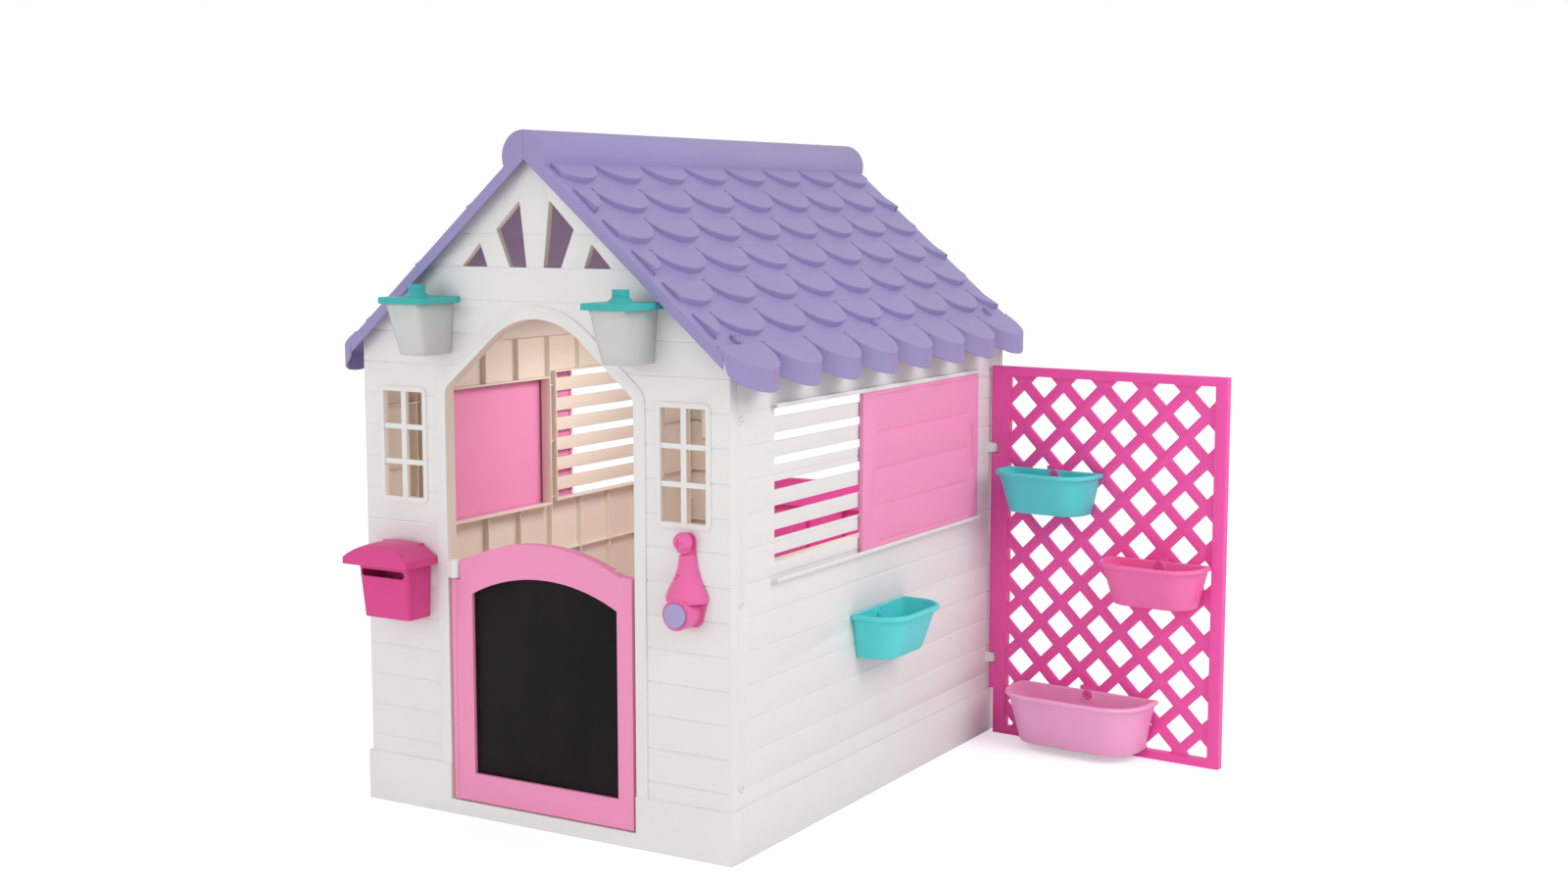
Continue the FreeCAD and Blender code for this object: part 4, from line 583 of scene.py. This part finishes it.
HALF_WIDTH, CLIP_GAP = 0.435, 0.0003
TRELLIS_AT, TRELLIS_TURN, STILE_HALF = Vector((0.450, 1.130, 0.0)), math.radians(-4.8), 0.010
teal = moulded_plastic("teal", (0.105, 0.71, 0.725), rough=0.36)
pot_pink = moulded_plastic("pot_pink", (0.93, 0.178, 0.468), rough=0.36)
trough_pink = moulded_plastic("trough_pink", (0.95, 0.43, 0.69), rough=0.38)
pots = (("wall_pot", SMALL_POT, teal, "teal_plastic", None),
        ("trellis_pot_upper", SMALL_POT, teal, "teal_plastic", 0.158),
        ("trellis_pot_middle", SMALL_POT, pot_pink, "hot_pink_plastic", 0.418),
        ("trellis_trough", TROUGH, trough_pink, "light_pink_plastic", 0.250))
for name, sizes, finish, slot, reach in pots:
    foot_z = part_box(name)[0][2]
    bowl = planter(name + "_bowl", **sizes)
    lug = screw_lug(name + "_lug", sizes["height"] - LUG_ROOT, sizes["lug_top"], -POT_WALL - 0.0006)
    for piece in (bowl, lug):
        if reach:
            along = Matrix.Rotation(TRELLIS_TURN, 4, "Z") @ Vector((reach, -STILE_HALF - CLIP_GAP, 0.0))
            placed(piece, TRELLIS_TURN, TRELLIS_AT + along + Vector((0, 0, foot_z)))
        else:
            middle_y = (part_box(name)[0][1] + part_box(name)[1][1]) / 2
            placed(piece, math.pi / 2, Vector((HALF_WIDTH + CLIP_GAP, middle_y, foot_z)))
        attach(piece, frame["nodes"][name]["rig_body"])
        dressed(piece, finish)
    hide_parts(name)
knob_pink = moulded_plastic("knob_pink", (0.80, 0.13, 0.37), rough=0.34)
for name, finish, slot in (("wall_pot_knob", teal, "teal_plastic"),
                           ("trellis_knobs", knob_pink, "knobs")):
    dressed(softened(name, 0.001), finish)

# ---- lanterns ----
# Milky cups that taper downwards under teal brimmed caps, each held by one steel screw. The same
# plated steel makes the letter box's screws and the bell's button cells.
def milky(name, colour):
    """Cloudy thin plastic: light partly passes, roughly scattered, through a satin surface."""
    cloudy = moulded_plastic(name, colour, rough=0.34, mottle=0.015, translucency=0.5)
    shader = cloudy.node_tree.nodes["Principled BSDF"]
    shader.inputs["Transmission Weight"].default_value = 0.6
    shader.inputs["IOR"].default_value = 1.2
    return cloudy


milky_cup = milky("milky_cup", (0.95, 0.95, 0.94))
dressed(softened("lantern_cups", 0.0015, segments=3), milky_cup)
cap_teal = moulded_plastic("cap_teal", (0.045, 0.44, 0.43), rough=0.34)
dressed(softened("lantern_caps", 0.002, segments=3), cap_teal)


def plated_steel():
    """Plated steel: full metal whose roughness follows a fine noise."""
    steel = bpy.data.materials.new("plated_steel")
    steel.use_nodes = True
    tree = steel.node_tree
    shader = tree.nodes["Principled BSDF"]
    shader.inputs["Metallic"].default_value = 1.0
    shader.inputs["Base Color"].default_value = (0.55, 0.55, 0.57, 1.0)
    place, noise = tree.nodes.new("ShaderNodeTexCoord"), tree.nodes.new("ShaderNodeTexNoise")
    span = tree.nodes.new("ShaderNodeMapRange")
    noise.inputs["Scale"].default_value = 400.0
    span.inputs["To Min"].default_value, span.inputs["To Max"].default_value = 0.22, 0.42
    tree.links.new(place.outputs["Object"], noise.inputs["Vector"])
    tree.links.new(noise.outputs["Fac"], span.inputs["Value"])
    tree.links.new(span.outputs["Result"], shader.inputs["Roughness"])
    return steel


steel = plated_steel()
for name in ("lantern_screws", "letter_box_screws", "bell_batteries"):
    dressed(softened(name, 0.0004), steel)

# ---- letter box ----
# Deep pink tapered box with a round-ended slot, under a hipped dome lid that lifts on a rear pin.
# The lid's back edge is rounded down, so that it clears the wall when it is fully open.
mail_pink = moulded_plastic("mail_pink", (0.70, 0.058, 0.265), rough=0.34)
for name, width in (("letter_box", 0.0022), ("letter_box_pin", 0.0005)):
    dressed(softened(name, width, segments=3), mail_pink)
LID_RIM, LID_WALL, HIP_RUN, BACK_RUN = 0.013, 0.003, 0.052, 0.016
ARCH_POWER, BLEND = 2.2, 14.0


def dome_lid():
    """Height over the plan is the rim plus the rise times the least of three: an arch across the
    width, a quarter round up from the front edge and a short one up from the back edge. The arch is
    blended softly into the others. The rim drops straight."""
    low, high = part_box("letter_box_lid")
    x, y = np.meshgrid(np.linspace(low[0], high[0], 49), np.linspace(low[1], high[1], 37),
                       indexing="ij")
    across = 1.0 - np.abs((2 * x - low[0] - high[0]) / (high[0] - low[0])) ** ARCH_POWER
    run = np.clip((y - low[1]) / HIP_RUN, 0.0, 1.0)
    inward = np.sqrt(1.0 - (1.0 - run) ** 2)
    back = np.sqrt(1.0 - (1.0 - np.clip((high[1] - y) / BACK_RUN, 0.0, 1.0)) ** 2)
    inward = np.minimum(inward, back)
    soft = -np.log(np.exp(-BLEND * across) + np.exp(-BLEND * inward)) / BLEND
    top = low[2] + LID_RIM + (high[2] - low[2] - LID_RIM) * np.clip(soft, 0.0, 1.0)
    top *= high[2] / top.max()
    rim = [np.stack([x[:, 0], y[:, 0]], 1), np.stack([x[-1, 1:], y[-1, 1:]], 1),
           np.stack([x[-2::-1, -1], y[-2::-1, -1]], 1), np.stack([x[0, -2:0:-1], y[0, -2:0:-1]], 1)]
    rim = np.concatenate(rim)
    points = np.concatenate([np.stack([x, y, top], 2).reshape(-1, 3),
                             np.column_stack([rim, np.full(len(rim), low[2])])])
    rows, columns = x.shape
    index = np.arange(rows * columns).reshape(rows, columns)
    quads = np.stack([index[:-1, :-1], index[1:, :-1], index[1:, 1:], index[:-1, 1:]], 2).reshape(-1, 4)
    edge = np.concatenate([index[:, 0], index[-1, 1:], index[-2::-1, -1], index[0, -2:0:-1]])
    skirt = rows * columns + np.arange(len(rim))
    walls = np.stack([skirt, np.roll(skirt, -1), np.roll(edge, -1), edge], 1)
    mesh = bpy.data.meshes.new("letter_box_dome")
    mesh.from_pydata(points.tolist(), [], np.concatenate([quads, walls]).tolist())
    mesh.polygons.foreach_set("use_smooth", np.ones(len(mesh.polygons), bool))
    dome = bpy.data.objects.new("letter_box_dome", mesh)
    bpy.context.scene.collection.objects.link(dome)
    shell = dome.modifiers.new("wall", "SOLIDIFY")
    shell.thickness, shell.offset = LID_WALL, -1.0
    rounding = dome.modifiers.new("rounded_rim", "BEVEL")
    rounding.width, rounding.segments = 0.0012, 2
    rounding.limit_method, rounding.angle_limit = "ANGLE", math.radians(40)
    return dome


lid = dome_lid()
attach(lid, "letter_box_lid")
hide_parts("letter_box_lid")
dressed(lid, mail_pink)

# ---- door bell ----
# A half-round bell under a cross-slotted ball, over a drum that holds the lavender push button. A
# back plate closes it round the circuit board, the speaker and two button cells.
bell_pink = moulded_plastic("bell_pink", (0.80, 0.145, 0.385), rough=0.34)
button_lavender = moulded_plastic("button_lavender", (0.385, 0.345, 0.60), rough=0.28)
board_green = moulded_plastic("board_green", (0.04, 0.22, 0.07), rough=0.3)
speaker_black = moulded_plastic("speaker_black", (0.012, 0.012, 0.012), rough=0.5)
for name, width, finish, slot in (
        ("bell_shell", 0.0005, bell_pink, "bell_pink"), ("bell_back", 0.0005, bell_pink, "bell_pink"),
        ("bell_button", 0.0006, button_lavender, "button_lavender"),
        ("bell_circuit_board", 0.0002, board_green, "circuit_board"),
        ("bell_speaker", 0.0006, speaker_black, "speaker_black")):
    dressed(softened(name, width, segments=3), finish)
